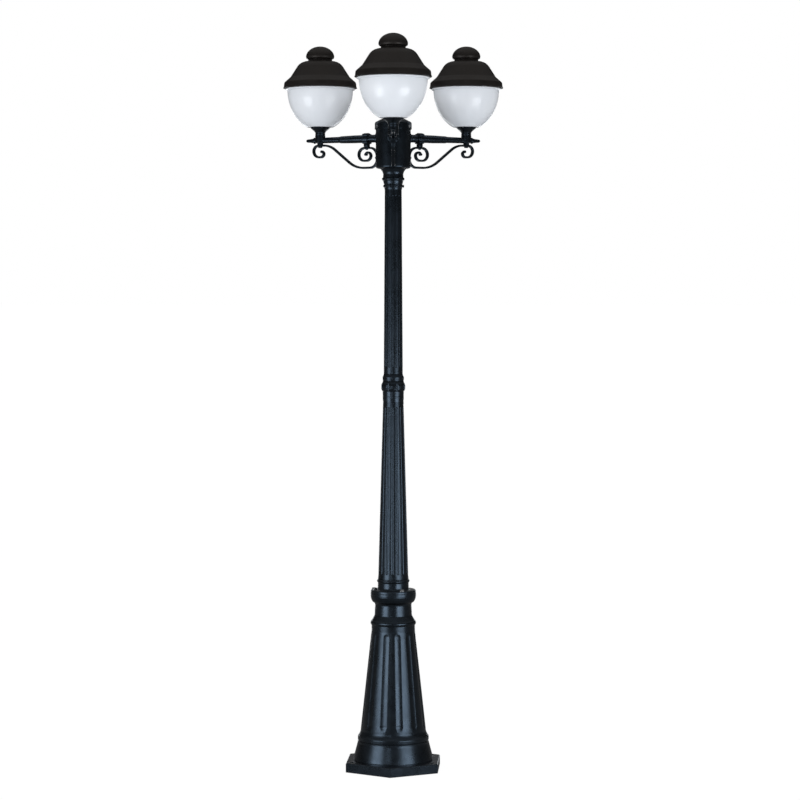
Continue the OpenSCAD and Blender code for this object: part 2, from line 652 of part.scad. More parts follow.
/* Hub */
module hub_body() color([0.05, 0.06, 0.07]) difference() {
    translate([0, 0, z_hub]) turned(concat(
        [[hub_wire_r, 0], [hub_r - 15.5, 0]], arc([hub_r - 9, 9], 9, -45, 0, 5),
        [[hub_r, hub_h], [hub_r - hub_wall, hub_h], [hub_r - hub_wall, hub_floor],
            [hub_wire_r, hub_floor]]));
    round_post(3, hub_bolt_reach, 30) translate([0, 0, z_hub - past])
        cylinder(r = hub_bolt_r + seat_gap, h = hub_floor + 2 * past);
    on_all_arms() {
        rotate([0, 90, 0]) cylinder(r = spigot_r + seat_gap, h = hub_r + past);
        translate([0, 0, hub_screw_u]) rotate([0, 90, 0])
            cylinder(r = scroll_screw_r + seat_gap, h = hub_r + past);
    }
    round_post(3, 0, -30) translate([0, 0, z_hub + hub_h - cap_skirt / 2]) rotate([0, 90, 0])
        cylinder(r = cap_screw_r + seat_gap, h = hub_r + past);
}
module hub_bolts() color("silver") round_post(3, hub_bolt_reach, 30) {
    translate([0, 0, z_hub + hub_floor]) hex_head(2 * hub_bolt_head_r, hub_bolt_head_h);
    translate([0, 0, z_hub - hub_bolt_grip]) cylinder(r = hub_bolt_r, h = hub_bolt_grip + hub_floor + 1);
}
module hub_terminal() color([0.9, 0.9, 0.86]) translate([-hub_block_w / 2, hub_block_y, z_hub + hub_floor])
    difference() {
        cube([hub_block_w, hub_block_d, hub_block_h]);
        for (i = [-1:1])
            translate([hub_block_w / 2 + 15 * i, -past, hub_block_h * 0.6]) rotate([-90, 0, 0])
                cylinder(r = 3, h = hub_block_d + 2 * past);
    }
module hub_cap() color([0.05, 0.06, 0.07]) difference() {
    translate([0, 0, z_hub + hub_h]) turned(concat(
        [[cap_r - cap_t + seat_gap, -cap_skirt], [cap_r, -cap_skirt], [cap_r, 2]],
        arc([cap_r - 8, 2], 8, 15, 60, 4),
        [[cap_r * 0.62, cap_dome_h * 0.68], [cap_r * 0.3, cap_dome_h * 0.95], [0, cap_dome_h],
            [0, cap_dome_h - cap_t], [cap_r * 0.6, cap_dome_h * 0.68 - cap_t], [hub_r - hub_wall, cap_t],
            [hub_r - hub_wall, 0], [hub_r + seat_gap, 0], [hub_r + seat_gap, -cap_skirt]]));
    round_post(3, 0, -30) translate([0, 0, z_hub + hub_h - cap_skirt / 2]) rotate([0, 90, 0])
        cylinder(r = cap_screw_r + seat_gap, h = cap_r + past);
}
module hub_cap_screws() color("silver") round_post(3, cap_r, -30)
    translate([0, 0, z_hub + hub_h - cap_skirt / 2]) rotate([0, 90, 0])
        dome_screw(cap_screw_r, cap_r - hub_r + hub_wall, cap_screw_head_r, cap_screw_head_h);

/* Arms, each along +X of its own frame */
module arm_shaft() {
    rotate([0, 90, 0]) turned(concat(
        [[0, hub_r - spigot_in], [spigot_r, hub_r - spigot_in], [spigot_r, hub_r - past],
            [arm_root_r, hub_r - past], [arm_root_r, hub_r + 3]],
        arc([arm_root_r - 1, hub_r + 10], 6.5, 250, 180, 5),
        [[arm_r, hub_r + 13], [arm_r, collar_reach + 50], [arm_r - 1.2, arm_reach - 82],
            [arm_thin_r + 0.6, arm_reach - 76], [arm_thin_r, arm_reach - eye_r], [arm_thin_r, arm_reach],
            [0, arm_reach]]));
}
module arm_tip() {
    rotate([0, 90, 0]) turned(concat(
        [[0, arm_reach], [8.5, arm_reach], [8.5, arm_reach + eye_r + 1]],
        arc([7.5, arm_reach + eye_r + 4.5], 3, -60, 60, 5),
        [[8, arm_reach + eye_r + 8], [6, arm_reach + eye_r + 22], [5.4, arm_reach + tip_length - 5],
            [3, arm_reach + tip_length - 1], [0, arm_reach + tip_length]]));
}
module arm() color([0.06, 0.07, 0.07]) difference() {
    union() {
        arm_shaft();
        arm_tip();
        translate([arm_reach, 0, -eye_down]) cylinder(r = eye_r, h = eye_up + eye_down);
        translate([arm_reach, 0, -pad_down]) cylinder(r = pad_r, h = pad_down);
    }
    translate([0, 0, -z_arm + z_hub]) difference() {
        cylinder(r = hub_r + seat_gap, h = hub_h);
        translate([0, 0, arm_rise]) rotate([0, 90, 0]) cylinder(r = spigot_r, h = hub_r + past);
    }
    translate([hub_r - spigot_in - past, 0, 0]) rotate([0, 90, 0])
        cylinder(r = arm_bore_r, h = arm_reach - hub_r + spigot_in + past);
    translate([arm_reach, 0, -pad_down - past])
        cylinder(r = stem_r + seat_gap, h = eye_up + pad_down + 2 * past);
}
module arm_collar() color([0.06, 0.07, 0.07]) difference() {
    union() {
        translate([collar_reach - collar_len / 2, 0, 0]) rotate([0, 90, 0]) {
            translate([0, 0, 3]) cylinder(r = collar_ring_r, h = collar_len - 6);
            cylinder(r = arm_r + 3, h = collar_len);
            for (a = [0:90:270]) rotate([0, 0, 45 + a]) translate([arm_r + 3.5, 0, 2])
                cylinder(r = collar_lobe_r, h = collar_len - 4);
        }
        translate([collar_reach - collar_lug_w / 2, -collar_lug_w / 2, -collar_drop])
            cube([collar_lug_w, collar_lug_w, collar_drop - arm_r - 1]);
    }
    translate([collar_reach - collar_len, 0, 0]) rotate([0, 90, 0])
        cylinder(r = arm_r + seat_gap, h = 2 * collar_len);
    translate([collar_reach, 0, inner_top_u]) cylinder(r = scroll_screw_r + seat_gap, h = 12);
}
module arm_locknuts() color("silver") on_all_arms() translate([locknut_seat - locknut_t, 0, 0])
    rotate([0, 90, 0]) difference() {
        cylinder(r = locknut_r, h = locknut_t, $fn = 6);
        translate([0, 0, -past]) cylinder(r = spigot_r + seat_gap, h = locknut_t + 2 * past);
    }

/* Scrolls */
// Centre line in the arm's plane: out of the seat to the small volute, and in to the large one
scroll_small = walk([[seat_flat / 2], [18, -90], [20.5, -90], [8], [11, -90], [7, -90]],
    [arm_reach, seat_u], 0);
scroll_large = walk([[seat_flat], [bend_out, scroll_slope], [slope_run], [bend_in, -scroll_slope],
    [low_flat], [corner_low, -90], [hub_side_run], [corner_high, -90], [top_flat], [22, -90], [20, -90],
    [10], [16, -90], [11, -90], [8, -80]], [arm_reach, seat_u], 180);
scroll_line = concat(reversed(scroll_small), [for (i = [1:len(scroll_large) - 1]) scroll_large[i]]);
scroll_knob = scroll_small[len(scroll_small) - 1];
scroll_end = scroll_large[len(scroll_large) - 1];
module scroll() color([0.06, 0.07, 0.07]) difference() {
    rotate([90, 0, 0]) union() {
        translate([0, 0, -strap_w / 2]) linear_extrude(strap_w)
            polygon(concat(beside(scroll_line, strap_t / 2), reversed(beside(scroll_line, -strap_t / 2))));
        translate([scroll_knob[0], scroll_knob[1], -strap_w / 2]) cylinder(r = strap_t * 0.64, h = strap_w);
        translate([scroll_end[0], scroll_end[1], -strap_w / 2]) cylinder(r = strap_t * 0.6, h = strap_w);
    }
    translate([arm_reach, 0, seat_u - strap_t]) cylinder(r = scroll_bolt_r + seat_gap, h = 2 * strap_t);
    translate([collar_reach, 0, inner_top_u - strap_t])
        cylinder(r = scroll_screw_r + seat_gap, h = 2 * strap_t);
    translate([hub_r - past, 0, hub_screw_u]) rotate([0, 90, 0])
        cylinder(r = scroll_screw_r + seat_gap, h = 2 * strap_t);
}
module scroll_bolts() color("silver") on_all_lamps() translate([0, 0, seat_u - strap_t / 2])
    rotate([180, 0, 0]) dome_screw(scroll_bolt_r, strap_t + 9, scroll_bolt_head_r, scroll_bolt_head_h);
module scroll_screws() color("silver") on_all_arms() {
    translate([collar_reach, 0, inner_top_u - strap_t / 2]) rotate([180, 0, 0])
        dome_screw(scroll_screw_r, strap_t + 8, scroll_screw_head_r, scroll_screw_head_h);
    translate([hub_side_r + strap_t / 2, 0, hub_screw_u]) rotate([0, 90, 0])
        dome_screw(scroll_screw_r, strap_t + hub_wall, scroll_screw_head_r, scroll_screw_head_h);
}

/* Lamps, each about the Z axis of its own frame at the arm's height */
module gallery() color([0.05, 0.07, 0.08]) difference() {
    union() {
        translate([0, 0, -pad_down]) cylinder(r = stem_r, h = pad_down + eye_up + 1);
        translate([0, 0, eye_up]) turned([
            [0, 0], [eye_r - 0.7, 0], [eye_r - 0.2, 3.5], [eye_r - 1, 7], [19.8, gallery_h - 14],
            [23.4, gallery_h - 11], [gallery_neck_r + 2, gallery_h - 8],
            [gallery_rim_r - 1.5, gallery_h - 2], [gallery_rim_r, gallery_h - 1],
            [gallery_rim_r, gallery_h], [0, gallery_h]
        ]);
    }
    translate([0, 0, neck_seat_u]) cylinder(r = gallery_neck_r, h = gallery_h);
    translate([0, 0, gallery_floor_u]) cylinder(r = holder_base_r + seat_gap, h = gallery_h);
    cylinder(r = arm_bore_r - 0.5, h = gallery_rim_u);
    rotate([0, -90, 0]) cylinder(r = arm_bore_r - 0.5, h = stem_r + past);
    translate([0, 0, -pad_down - past]) cylinder(r = scroll_bolt_r + seat_gap, h = 10 + past);
    for (a = [60:120:300]) rotate([0, 0, a]) translate([0, 0, gallery_screw_u]) rotate([0, 90, 0])
        cylinder(r = gallery_screw_r + seat_gap, h = gallery_rim_r + past);
}
module gallery_screws() color("silver") on_all_lamps() for (a = [60:120:300])
    rotate([0, 0, a]) translate([gallery_screw_seat_r, 0, gallery_screw_u]) rotate([0, 90, 0])
        dome_screw(gallery_screw_r, gallery_screw_seat_r - globe_neck_r - rest_gap, gallery_screw_head_r,
            gallery_screw_head_h);
module neck_seals() color([0.03, 0.03, 0.03]) on_all_lamps() translate([0, 0, neck_seat_u])
    tube(gallery_neck_r - 0.2, holder_base_r + 1.5, seal_t);
module lampholder() color([0.93, 0.92, 0.88]) difference() {
    turned([
        [0, gallery_floor_u], [holder_base_r, gallery_floor_u], [holder_base_r, neck_seat_u + 2],
        [holder_r, neck_seat_u + 6], [holder_r, holder_top_u - 2], [holder_r - 2, holder_top_u],
        [0, holder_top_u]
    ]);
    translate([0, 0, holder_top_u - socket_depth]) cylinder(r = socket_r, h = socket_depth + past);
    translate([0, 0, gallery_floor_u - past]) cylinder(r = arm_bore_r - 0.5, h = holder_top_u);
}
module bulb() color([0.97, 0.97, 0.94]) turned(concat(
    [[0, holder_top_u - socket_depth], [6, holder_top_u - socket_depth],
        [bulb_base_r, holder_top_u - socket_depth + 4], [bulb_base_r, holder_top_u + 2],
        [bulb_base_r + 3.5, holder_top_u + bulb_neck_h - 2]],
    arc([0, bulb_u], bulb_r, -52, 90, 14)));
module globe() color([0.86, 0.87, 0.9]) {
    bottom_r = globe_r * 0.4;
    depth = globe_h - flange_t_glass / 2;
    rise = depth / sqrt(1 - pow(bottom_r / globe_r, 2));
    start = acos(bottom_r / globe_r);
    outer = [
        for (i = [0:18]) let (a = -start * (1 - i / 18))
            [globe_r * cos(a), flange_u - flange_t_glass / 2 + rise * sin(a)]
    ];
    inner = [
        for (i = [0:18]) let (a = -start * (i / 18))
            [(globe_r - globe_wall) * cos(a), flange_u + (rise - globe_wall) * sin(a)]
    ];
    turned(concat(
        [[globe_neck_r - globe_wall, neck_seat_u + seal_t], [globe_neck_r, neck_seat_u + seal_t],
            [globe_neck_r, gallery_rim_u]],
        outer, [[flange_r, flange_u - flange_t_glass], [flange_r, flange_u]], inner,
        [[globe_neck_r - globe_wall, gallery_rim_u + globe_wall + 1]]));
}
module globe_gasket() color([0.03, 0.03, 0.03]) difference() {
    translate([0, 0, flange_u]) tube(flange_r - 0.5, flange_r - 8, gasket_t);
    translate([-bridge_w / 2 - 0.5, -flange_r - past, flange_u - past])
        cube([bridge_w + 1, 2 * flange_r + 2 * past, gasket_t + 2 * past]);
}
module canopy_bridge() color("silver") {
    translate([0, 0, flange_u]) intersection() {
        translate([-bridge_w / 2, -flange_r, 0]) cube([bridge_w, 2 * flange_r, gasket_t]);
        cylinder(r = flange_r - 1, h = gasket_t);
    }
    translate([0, 0, flange_u]) cylinder(r = stud_r + 3, h = gasket_t + 5);
    translate([0, 0, flange_u]) cylinder(r = stud_r, h = stud_top_u - flange_u);
}
function canopy_outer() = concat(
    [[canopy_r, rim_u], [canopy_r - 2.3, rim_u + 6]],
    arc([canopy_r - 11.2, rim_u + 14.3], 8, 5.6, 48.3, 4),
    [[canopy_r - 24.5, rim_u + 36.7]], arc([canopy_r - 78.8, crown_u - 38], 38, 32.6, 90, 6),
    [[crown_hole_r, crown_u]]);
module canopy() color([0.15, 0.14, 0.13]) {
    outer = canopy_outer();
    inner = beside(outer, -canopy_t);
    ledge = [[flange_r - 8, rim_u], [flange_r - 8, rim_u + 1.5], [canopy_r - 5, rim_u + 2.5]];
    turned(concat(outer, [[crown_hole_r, crown_u - canopy_t]],
        [for (i = [len(inner) - 2:-1:1]) inner[i]], reversed(ledge)));
}
module finial() color([0.13, 0.12, 0.11]) {
    neck = finial_r - 7.5;
    boss_r = 9;
    dome_u = crown_u + 14;
    dome = [for (a = [0:8:88]) [finial_r * cos(a), dome_u + (finial_top_u - dome_u) * sin(a)]];
    under = [for (a = [72:-8:0])
        [(finial_r - finial_t) * cos(a), dome_u + (finial_top_u - finial_t - dome_u) * sin(a)]];
    turned(concat(
        [[finial_bore_r, crown_u], [boss_r, crown_u], [boss_r, finial_top_u - finial_t - 2]], under,
        [[finial_r - finial_t - 2, crown_u + 11], [neck - finial_t, crown_u + 10],
            [neck - finial_t, crown_u], [neck, crown_u], [neck, crown_u + 7], [neck + 3, crown_u + 8],
            [finial_r - 1.2, crown_u + 10.5]],
        dome, [[0, finial_top_u], [0, stud_top_u + 2], [finial_bore_r, stud_top_u + 2]]));
}

base_plate();
base_bolts();
cable_grommet();
base_bell();
service_door();
door_hinge_pin();
door_lock();
terminal_bracket();
terminal_block();
bracket_screws();
column_bolts();
lower_column();
mid_knuckle();
upper_column();
neck_collar();
set_screws();
hub_body();
hub_bolts();
hub_terminal();
hub_cap();
hub_cap_screws();
on_arm(0) arm();  // arm_front
on_arm(1) arm();  // arm_right
on_arm(2) arm();  // arm_left
on_arm(0) arm_collar();  // arm_collar_front
on_arm(1) arm_collar();  // arm_collar_right
on_arm(2) arm_collar();  // arm_collar_left
on_arm(0) scroll();  // scroll_front
on_arm(1) scroll();  // scroll_right
on_arm(2) scroll();  // scroll_left
arm_locknuts();
scroll_bolts();
scroll_screws();
on_lamp(0) gallery();  // gallery_front
on_lamp(1) gallery();  // gallery_right
on_lamp(2) gallery();  // gallery_left
gallery_screws();
neck_seals();
on_lamp(0) lampholder();  // lampholder_front
on_lamp(1) lampholder();  // lampholder_right
on_lamp(2) lampholder();  // lampholder_left
on_lamp(0) bulb();  // bulb_front
on_lamp(1) bulb();  // bulb_right
on_lamp(2) bulb();  // bulb_left
on_lamp(0) globe();  // globe_front
on_lamp(1) globe();  // globe_right
on_lamp(2) globe();  // globe_left
on_lamp(0) globe_gasket();  // globe_gasket_front
on_lamp(1) globe_gasket();  // globe_gasket_right
on_lamp(2) globe_gasket();  // globe_gasket_left
on_lamp(0) canopy_bridge();  // canopy_bridge_front
on_lamp(1) canopy_bridge();  // canopy_bridge_right
on_lamp(2) canopy_bridge();  // canopy_bridge_left
on_lamp(0) canopy();  // canopy_front
on_lamp(1) canopy();  // canopy_right
on_lamp(2) canopy();  // canopy_left
on_lamp(0) finial();  // finial_front
on_lamp(1) finial();  // finial_right
on_lamp(2) finial();  // finial_left
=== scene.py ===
import bpy
import bmesh
import json
from functools import partial
from math import acos, ceil, cos, degrees, pi, radians, sin, sqrt, tan
from mathutils import Matrix, Vector


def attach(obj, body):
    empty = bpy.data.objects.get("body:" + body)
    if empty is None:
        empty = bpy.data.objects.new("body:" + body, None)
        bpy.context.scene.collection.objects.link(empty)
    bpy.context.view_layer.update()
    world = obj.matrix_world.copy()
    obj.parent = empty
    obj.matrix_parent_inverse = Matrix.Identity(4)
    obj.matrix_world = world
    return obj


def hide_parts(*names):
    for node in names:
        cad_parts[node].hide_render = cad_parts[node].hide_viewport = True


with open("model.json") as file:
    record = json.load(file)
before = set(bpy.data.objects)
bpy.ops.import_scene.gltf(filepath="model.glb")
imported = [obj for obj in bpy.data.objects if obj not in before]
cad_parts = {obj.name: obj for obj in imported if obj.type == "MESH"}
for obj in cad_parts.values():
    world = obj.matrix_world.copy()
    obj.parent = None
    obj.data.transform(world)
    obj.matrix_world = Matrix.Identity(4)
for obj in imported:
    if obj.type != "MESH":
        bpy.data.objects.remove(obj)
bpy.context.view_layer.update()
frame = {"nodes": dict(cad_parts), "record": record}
scene = bpy.context.scene
mm = 0.001
arms = {"front": -90, "right": 30, "left": 150}  # azimuth of each arm, degrees
armReach = 282  # from the post's axis to a lamp's, mm

# heights of the joints between the post's pieces, mm above the ground
levels = {"bell": 30.5, "lower": 586.0, "knuckle": 1236.0, "upper": 1310.0, "neck": 1916.0,
          "hub": 1984.0, "arm": 2086.5}


def turned(angle, axis):
    return Matrix.Rotation(radians(angle), 4, axis)


def place(x=0, y=0, z=0):
    return Matrix.Translation((x * mm, y * mm, z * mm))


baseTurn = turned(-3.4, "Z")  # base and columns stand a little turned under the arms


def atArm(arm):  # local +X runs along the arm
    return turned(arms[arm], "Z") @ place(z=levels["arm"])


def atLamp(arm):
    return atArm(arm) @ place(x=armReach)


def newObject(name, data):
    thing = bpy.data.objects.new(name, data)
    scene.collection.objects.link(thing)
    return thing


def baked(holder):  # the plain mesh that an object's modifiers leave; the object goes
    graph = bpy.context.evaluated_depsgraph_get()
    out = bpy.data.meshes.new_from_object(holder.evaluated_get(graph), depsgraph=graph)
    bpy.data.objects.remove(holder)
    return out


socketKinds = {"Vector": "Vector", "Stretch": "Vector", "Geometry": "Geometry", "Material": "Material",
               "Head": "Object"}  # every other socket is a Float


def newTree(kind, name, inputs, outputs):
    tree = bpy.data.node_groups.new(name, kind)
    for way, titles in (("INPUT", inputs), ("OUTPUT", outputs)):
        for title in titles:
            socket = tree.interface.new_socket(
                title, in_out=way, socket_type="NodeSocket" + socketKinds.get(title, "Float"))
            if way == "INPUT" and inputs[title] is not None:
                socket.default_value = inputs[title]
    return tree, tree.nodes.new("NodeGroupInput"), tree.nodes.new("NodeGroupOutput")


def feed(tree, socket, value):
    if isinstance(value, bpy.types.NodeSocket):
        tree.links.new(value, socket)
    elif value is not None:
        socket.default_value = value


def feedAll(tree, node, **values):  # an underscore stands for a space in a socket's name
    for title, value in values.items():
        feed(tree, node.inputs[title.replace("_", " ")], value)
    return node


def addNode(tree, kind, settings=None, **values):
    node = tree.nodes.new(kind)
    for title, value in (settings or {}).items():
        setattr(node, title, value)
    return feedAll(tree, node, **values)


def feedRow(tree, node, *values):  # by the order of the sockets
    for socket, value in zip(node.inputs, values):
        feed(tree, socket, value)
    return node.outputs[0]


def calc(tree, operation, *values, clamp=False):
    return feedRow(tree, addNode(tree, "ShaderNodeMath", {"operation": operation, "use_clamp": clamp}), *values)


def spread(tree, value, low, high, to0=0.0, to1=1.0):
    return feedRow(tree, tree.nodes.new("ShaderNodeMapRange"), value, low, high, to0, to1)


def noise(tree, vector, scale, detail, rough):
    return addNode(tree, "ShaderNodeTexNoise", Vector=vector, Scale=scale, Detail=detail,
                   Roughness=rough).outputs["Fac"]


def mixColour(tree, share, one, two):
    node = addNode(tree, "ShaderNodeMix", {"data_type": "RGBA"})
    feed(tree, node.inputs[0], share)
    feed(tree, node.inputs[6], one)
    feed(tree, node.inputs[7], two)
    return node.outputs[2]


def axesOf(tree, vector):
    node = tree.nodes.new("ShaderNodeSeparateXYZ")
    feed(tree, node.inputs[0], vector)
    return node.outputs


# cast skin under paint: broad mottling, fine orange peel, and small pits
def castSkinGroup():
    group, start, end = newTree("ShaderNodeTree", "castSkin", {
        "Vector": None, "Peel Scale": 900.0, "Mottle Scale": 22.0, "Pit Scale": 260.0}, ("Mottle", "Height"))
    vector = start.outputs["Vector"]
    mottle = noise(group, vector, start.outputs["Mottle Scale"], 4, 0.6)
    peel = noise(group, vector, start.outputs["Peel Scale"], 1.5, 0.4)
    cells = addNode(group, "ShaderNodeTexVoronoi", Vector=vector, Scale=start.outputs["Pit Scale"])
    rare = calc(group, "GREATER_THAN", noise(group, vector, 60.0, 2, 0.5), 0.62)
    pits = calc(group, "MULTIPLY", spread(group, cells.outputs["Distance"], 0.05, 0.28, 1, 0), rare)
    height = calc(group, "SUBTRACT", calc(group, "MULTIPLY", peel, 0.6), pits)
    feedAll(group, end, Mottle=spread(group, mottle, 0.32, 0.68), Height=height)
    return group


# dust and chalking that settles on faces that look up, and near the ground
def dustGroup():
    group, start, end = newTree("ShaderNodeTree", "settledDust", {
        "Vector": None, "Low": 0.0, "High": 0.35, "Amount": 0.4}, ("Dust",))
    vector = start.outputs["Vector"]
    normal = group.nodes.new("ShaderNodeNewGeometry").outputs["Normal"]
    up = spread(group, axesOf(group, normal)[2], 0.45, 1.0)
    low = spread(group, axesOf(group, vector)[2], start.outputs["Low"], start.outputs["High"], 1, 0)
    patch = spread(group, noise(group, vector, 34.0, 5, 0.7), 0.42, 0.72)
    both = calc(group, "MAXIMUM", up, calc(group, "MULTIPLY", low, 0.55))
    dust = calc(group, "MULTIPLY", calc(group, "MULTIPLY", both, patch), start.outputs["Amount"])
    feedAll(group, end, Dust=dust)
    return group


# fine brushed or drawn lines along one axis
def brushGroup():
    group, start, end = newTree("ShaderNodeTree", "brushedLines", {
        "Vector": None, "Stretch": (1.0, 1.0, 0.04), "Scale": 1800.0}, ("Lines",))
    stretched = feedRow(group, addNode(group, "ShaderNodeVectorMath", {"operation": "MULTIPLY"}),
                        start.outputs["Vector"], start.outputs["Stretch"])
    feedAll(group, end, Lines=noise(group, stretched, start.outputs["Scale"], 2, 0.5))
    return group


groups = {"skin": castSkinGroup(), "dust": dustGroup(), "brush": brushGroup()}
materials = {}


def useGroup(tree, key, **values):
    return addNode(tree, "ShaderNodeGroup", {"node_tree": groups[key]}, **values)


def newMaterial(name):
    materials[name] = bpy.data.materials.new(name)
    materials[name].use_nodes = True
    tree = materials[name].node_tree
    return tree, tree.nodes["Principled BSDF"], tree.nodes.new("ShaderNodeTexCoord").outputs["Object"]


def dress(tree, shader, colour, rough, height, distance):
    bump = addNode(tree, "ShaderNodeBump", Distance=distance, Height=height)
    feedAll(tree, shader, Base_Color=colour, Roughness=rough, Normal=bump.outputs[0])


paints = {
    "glossBlack": {"dark": (0.0018, 0.0021, 0.0024, 1), "pale": (0.0034, 0.004, 0.0048, 1),
                   "dust": (0.045, 0.05, 0.055, 1), "rough": (0.24, 0.33), "peel": 850.0, "bump": 0.00012,
                   "dustAmount": 0.035, "tint": (0.56, 0.76, 1.0, 1), "specular": 0.62},
    "satinBrownBlack": {"dark": (0.005, 0.004, 0.0036, 1), "pale": (0.009, 0.0072, 0.0064, 1),
                        "dust": (0.07, 0.065, 0.06, 1), "rough": (0.4, 0.52), "peel": 1300.0, "bump": 0.00016,
                        "dustAmount": 0.12, "tint": (1.0, 0.93, 0.88, 1), "specular": 0.5}}


def paintMaterial(name, look):
    tree, shader, coords = newMaterial(name)
    skin = useGroup(tree, "skin", Vector=coords, Peel_Scale=look["peel"]).outputs
    dust = useGroup(tree, "dust", Vector=coords, Amount=look["dustAmount"]).outputs["Dust"]
    paint = mixColour(tree, skin["Mottle"], look["dark"], look["pale"])
    rough = spread(tree, skin["Mottle"], 0, 1, *look["rough"])
    feedAll(tree, shader, Specular_IOR_Level=look["specular"], Specular_Tint=look["tint"])
    dress(tree, shader, mixColour(tree, dust, paint, look["dust"]),
          calc(tree, "ADD", rough, calc(tree, "MULTIPLY", dust, 0.9), clamp=True), skin["Height"], look["bump"])


metals = {
    "platedSteel": {"colour": (0.5, 0.51, 0.53, 1), "dull": (0.36, 0.365, 0.37, 1), "rough": (0.24, 0.42),
                    "scale": 2200.0, "bump": 0.00004},
    "zincSheet": {"colour": (0.42, 0.43, 0.45, 1), "dull": (0.3, 0.31, 0.33, 1), "rough": (0.35, 0.55),
                  "scale": 1200.0, "bump": 0.00004}}


def metalMaterial(name, look):
    tree, shader, coords = newMaterial(name)
    lines = useGroup(tree, "brush", Vector=coords, Scale=look["scale"]).outputs["Lines"]
    stain = spread(tree, noise(tree, coords, 45.0, 4, 0.6), 0.35, 0.7)
    both = calc(tree, "ADD", calc(tree, "MULTIPLY", lines, 0.5), calc(tree, "MULTIPLY", stain, 0.5))
    feedAll(tree, shader, Metallic=1.0)
    dress(tree, shader, mixColour(tree, stain, look["colour"], look["dull"]),
          spread(tree, both, 0.2, 0.8, *look["rough"]), lines, look["bump"])


# frosted globe: milky, faint swirl, smooth skin
opal = {"milk": (0.79, 0.825, 0.88, 1), "haze": (0.82, 0.85, 0.9, 1), "rough": (0.16, 0.24), "swirl": 9.0,
        "frost": 1500.0, "bump": 0.00005, "glowDepth": (0.02, 0.02, 0.02)}


def opalMaterial():
    tree, shader, coords = newMaterial("opalGlobe")
    cloud = spread(tree, noise(tree, coords, opal["swirl"], 3, 0.5), 0.3, 0.7)
    frost = noise(tree, coords, opal["frost"], 1, 0.4)
    feedAll(tree, shader, Subsurface_Weight=0.25, Subsurface_Radius=opal["glowDepth"], Subsurface_Scale=0.5)
    dress(tree, shader, mixColour(tree, cloud, opal["milk"], opal["haze"]),
          spread(tree, frost, 0.2, 0.8, *opal["rough"]), frost, opal["bump"])


plains = {
    "blackRubber": {"one": (0.018, 0.018, 0.018, 1), "two": (0.035, 0.034, 0.033, 1), "rough": (0.6, 0.85),
                    "grain": 700.0, "bump": 0.0002},
    "glazedPorcelain": {"one": (0.78, 0.76, 0.7, 1), "two": (0.84, 0.83, 0.78, 1), "rough": (0.08, 0.18),
                        "grain": 60.0, "bump": 0.0001},
    "bulbOpal": {"one": (0.83, 0.82, 0.78, 1), "two": (0.88, 0.87, 0.84, 1), "rough": (0.2, 0.3),
                 "grain": 80.0, "bump": 0.00003},
    "terminalNylon": {"one": (0.6, 0.59, 0.53, 1), "two": (0.68, 0.67, 0.61, 1), "rough": (0.4, 0.6),
                      "grain": 500.0, "bump": 0.0001}}


def plainMaterial(name, look):
    tree, shader, coords = newMaterial(name)
    broad = spread(tree, noise(tree, coords, 26.0, 4, 0.6), 0.3, 0.7)
    grain = noise(tree, coords, look["grain"], 2, 0.5)
    dress(tree, shader, mixColour(tree, broad, look["one"], look["two"]),
          spread(tree, grain, 0.25, 0.75, *look["rough"]), grain, look["bump"])


for makeLook, looks in ((paintMaterial, paints), (metalMaterial, metals), (plainMaterial, plains)):
    for name, look in looks.items():
        makeLook(name, look)
opalMaterial()
slotLook = {"black_paint": "glossBlack", "canopy_paint": "satinBrownBlack", "globe_opal": "opalGlobe",
            "bulb_opal": "bulbOpal", "plated_steel": "platedSteel", "rubber": "blackRubber",
            "porcelain": "glazedPorcelain", "terminal_plastic": "terminalNylon"}
nodeSlot = {part["node"]: part["material_slot"] for part in frame["record"]["subparts"]}
for nodeName, node in frame["nodes"].items():
    node.data.materials.clear()
    node.data.materials.append(materials[slotLook[nodeSlot[nodeName]]])
print("materials ready:", len(materials))


# a profile is a list of (radius, height) or (radius, height, fillet), mm; arcs round the filleted corners
def rounded(corners, support=0.9, step=13):
    rows, last = [], len(corners) - 1
    for i, corner in enumerate(corners):
        p = Vector(corner[:2])
        if len(corner) == 2 or not corner[2] or i in (0, last):
            rows.append(p)
            continue
        a, b = Vector(corners[i - 1][:2]) - p, Vector(corners[i + 1][:2]) - p
        half = a.angle(b) / 2
        if half > radians(87):
            rows.append(p)
            continue
        reach = min(corner[2] / tan(half), 0.46 * a.length, 0.46 * b.length)
        radius = reach * tan(half)
        centre = p + (a.normalized() + b.normalized()).normalized() * radius / sin(half)
        start, end = p + a.normalized() * reach - centre, p + b.normalized() * reach - centre
        side = 1 if start.x * end.y - start.y * end.x > 0 else -1
        count = max(2, ceil(degrees(pi - 2 * half) / step))
        for k in range(count + 1):
            rows.append(centre + Matrix.Rotation(side * (pi - 2 * half) * k / count, 2) @ start)
    full = [rows[0]]
    for a, b in zip(rows, rows[1:]):
        if (b - a).length > 3.5 * support and a.x > 0.01 and b.x > 0.01:
            along = (b - a).normalized() * support
            full += [a + along, b - along]
        full.append(b)
    return full


def arcRows(centre, radius, start, end, steps=8):
    return [(centre[0] + radius * cos(radians(start + (end - start) * k / steps)),
             centre[1] + radius * sin(radians(start + (end - start) * k / steps))) for k in range(steps + 1)]


# more rows where a rising line of rows crosses the given heights
def withHeights(rows, heights):
    out = [rows[0]]
    for a, b in zip(rows, rows[1:]):
        inside = sorted(h for h in heights if a.y + 1e-4 < h < b.y - 1e-4)
        out += [a.lerp(b, (h - a.y) / (b.y - a.y)) for h in inside]
        out.append(b)
    return out


def resharpened(mesh, sharp=26):
    mesh.shade_smooth()
    mesh.set_sharp_from_angle(angle=radians(sharp))
    return mesh


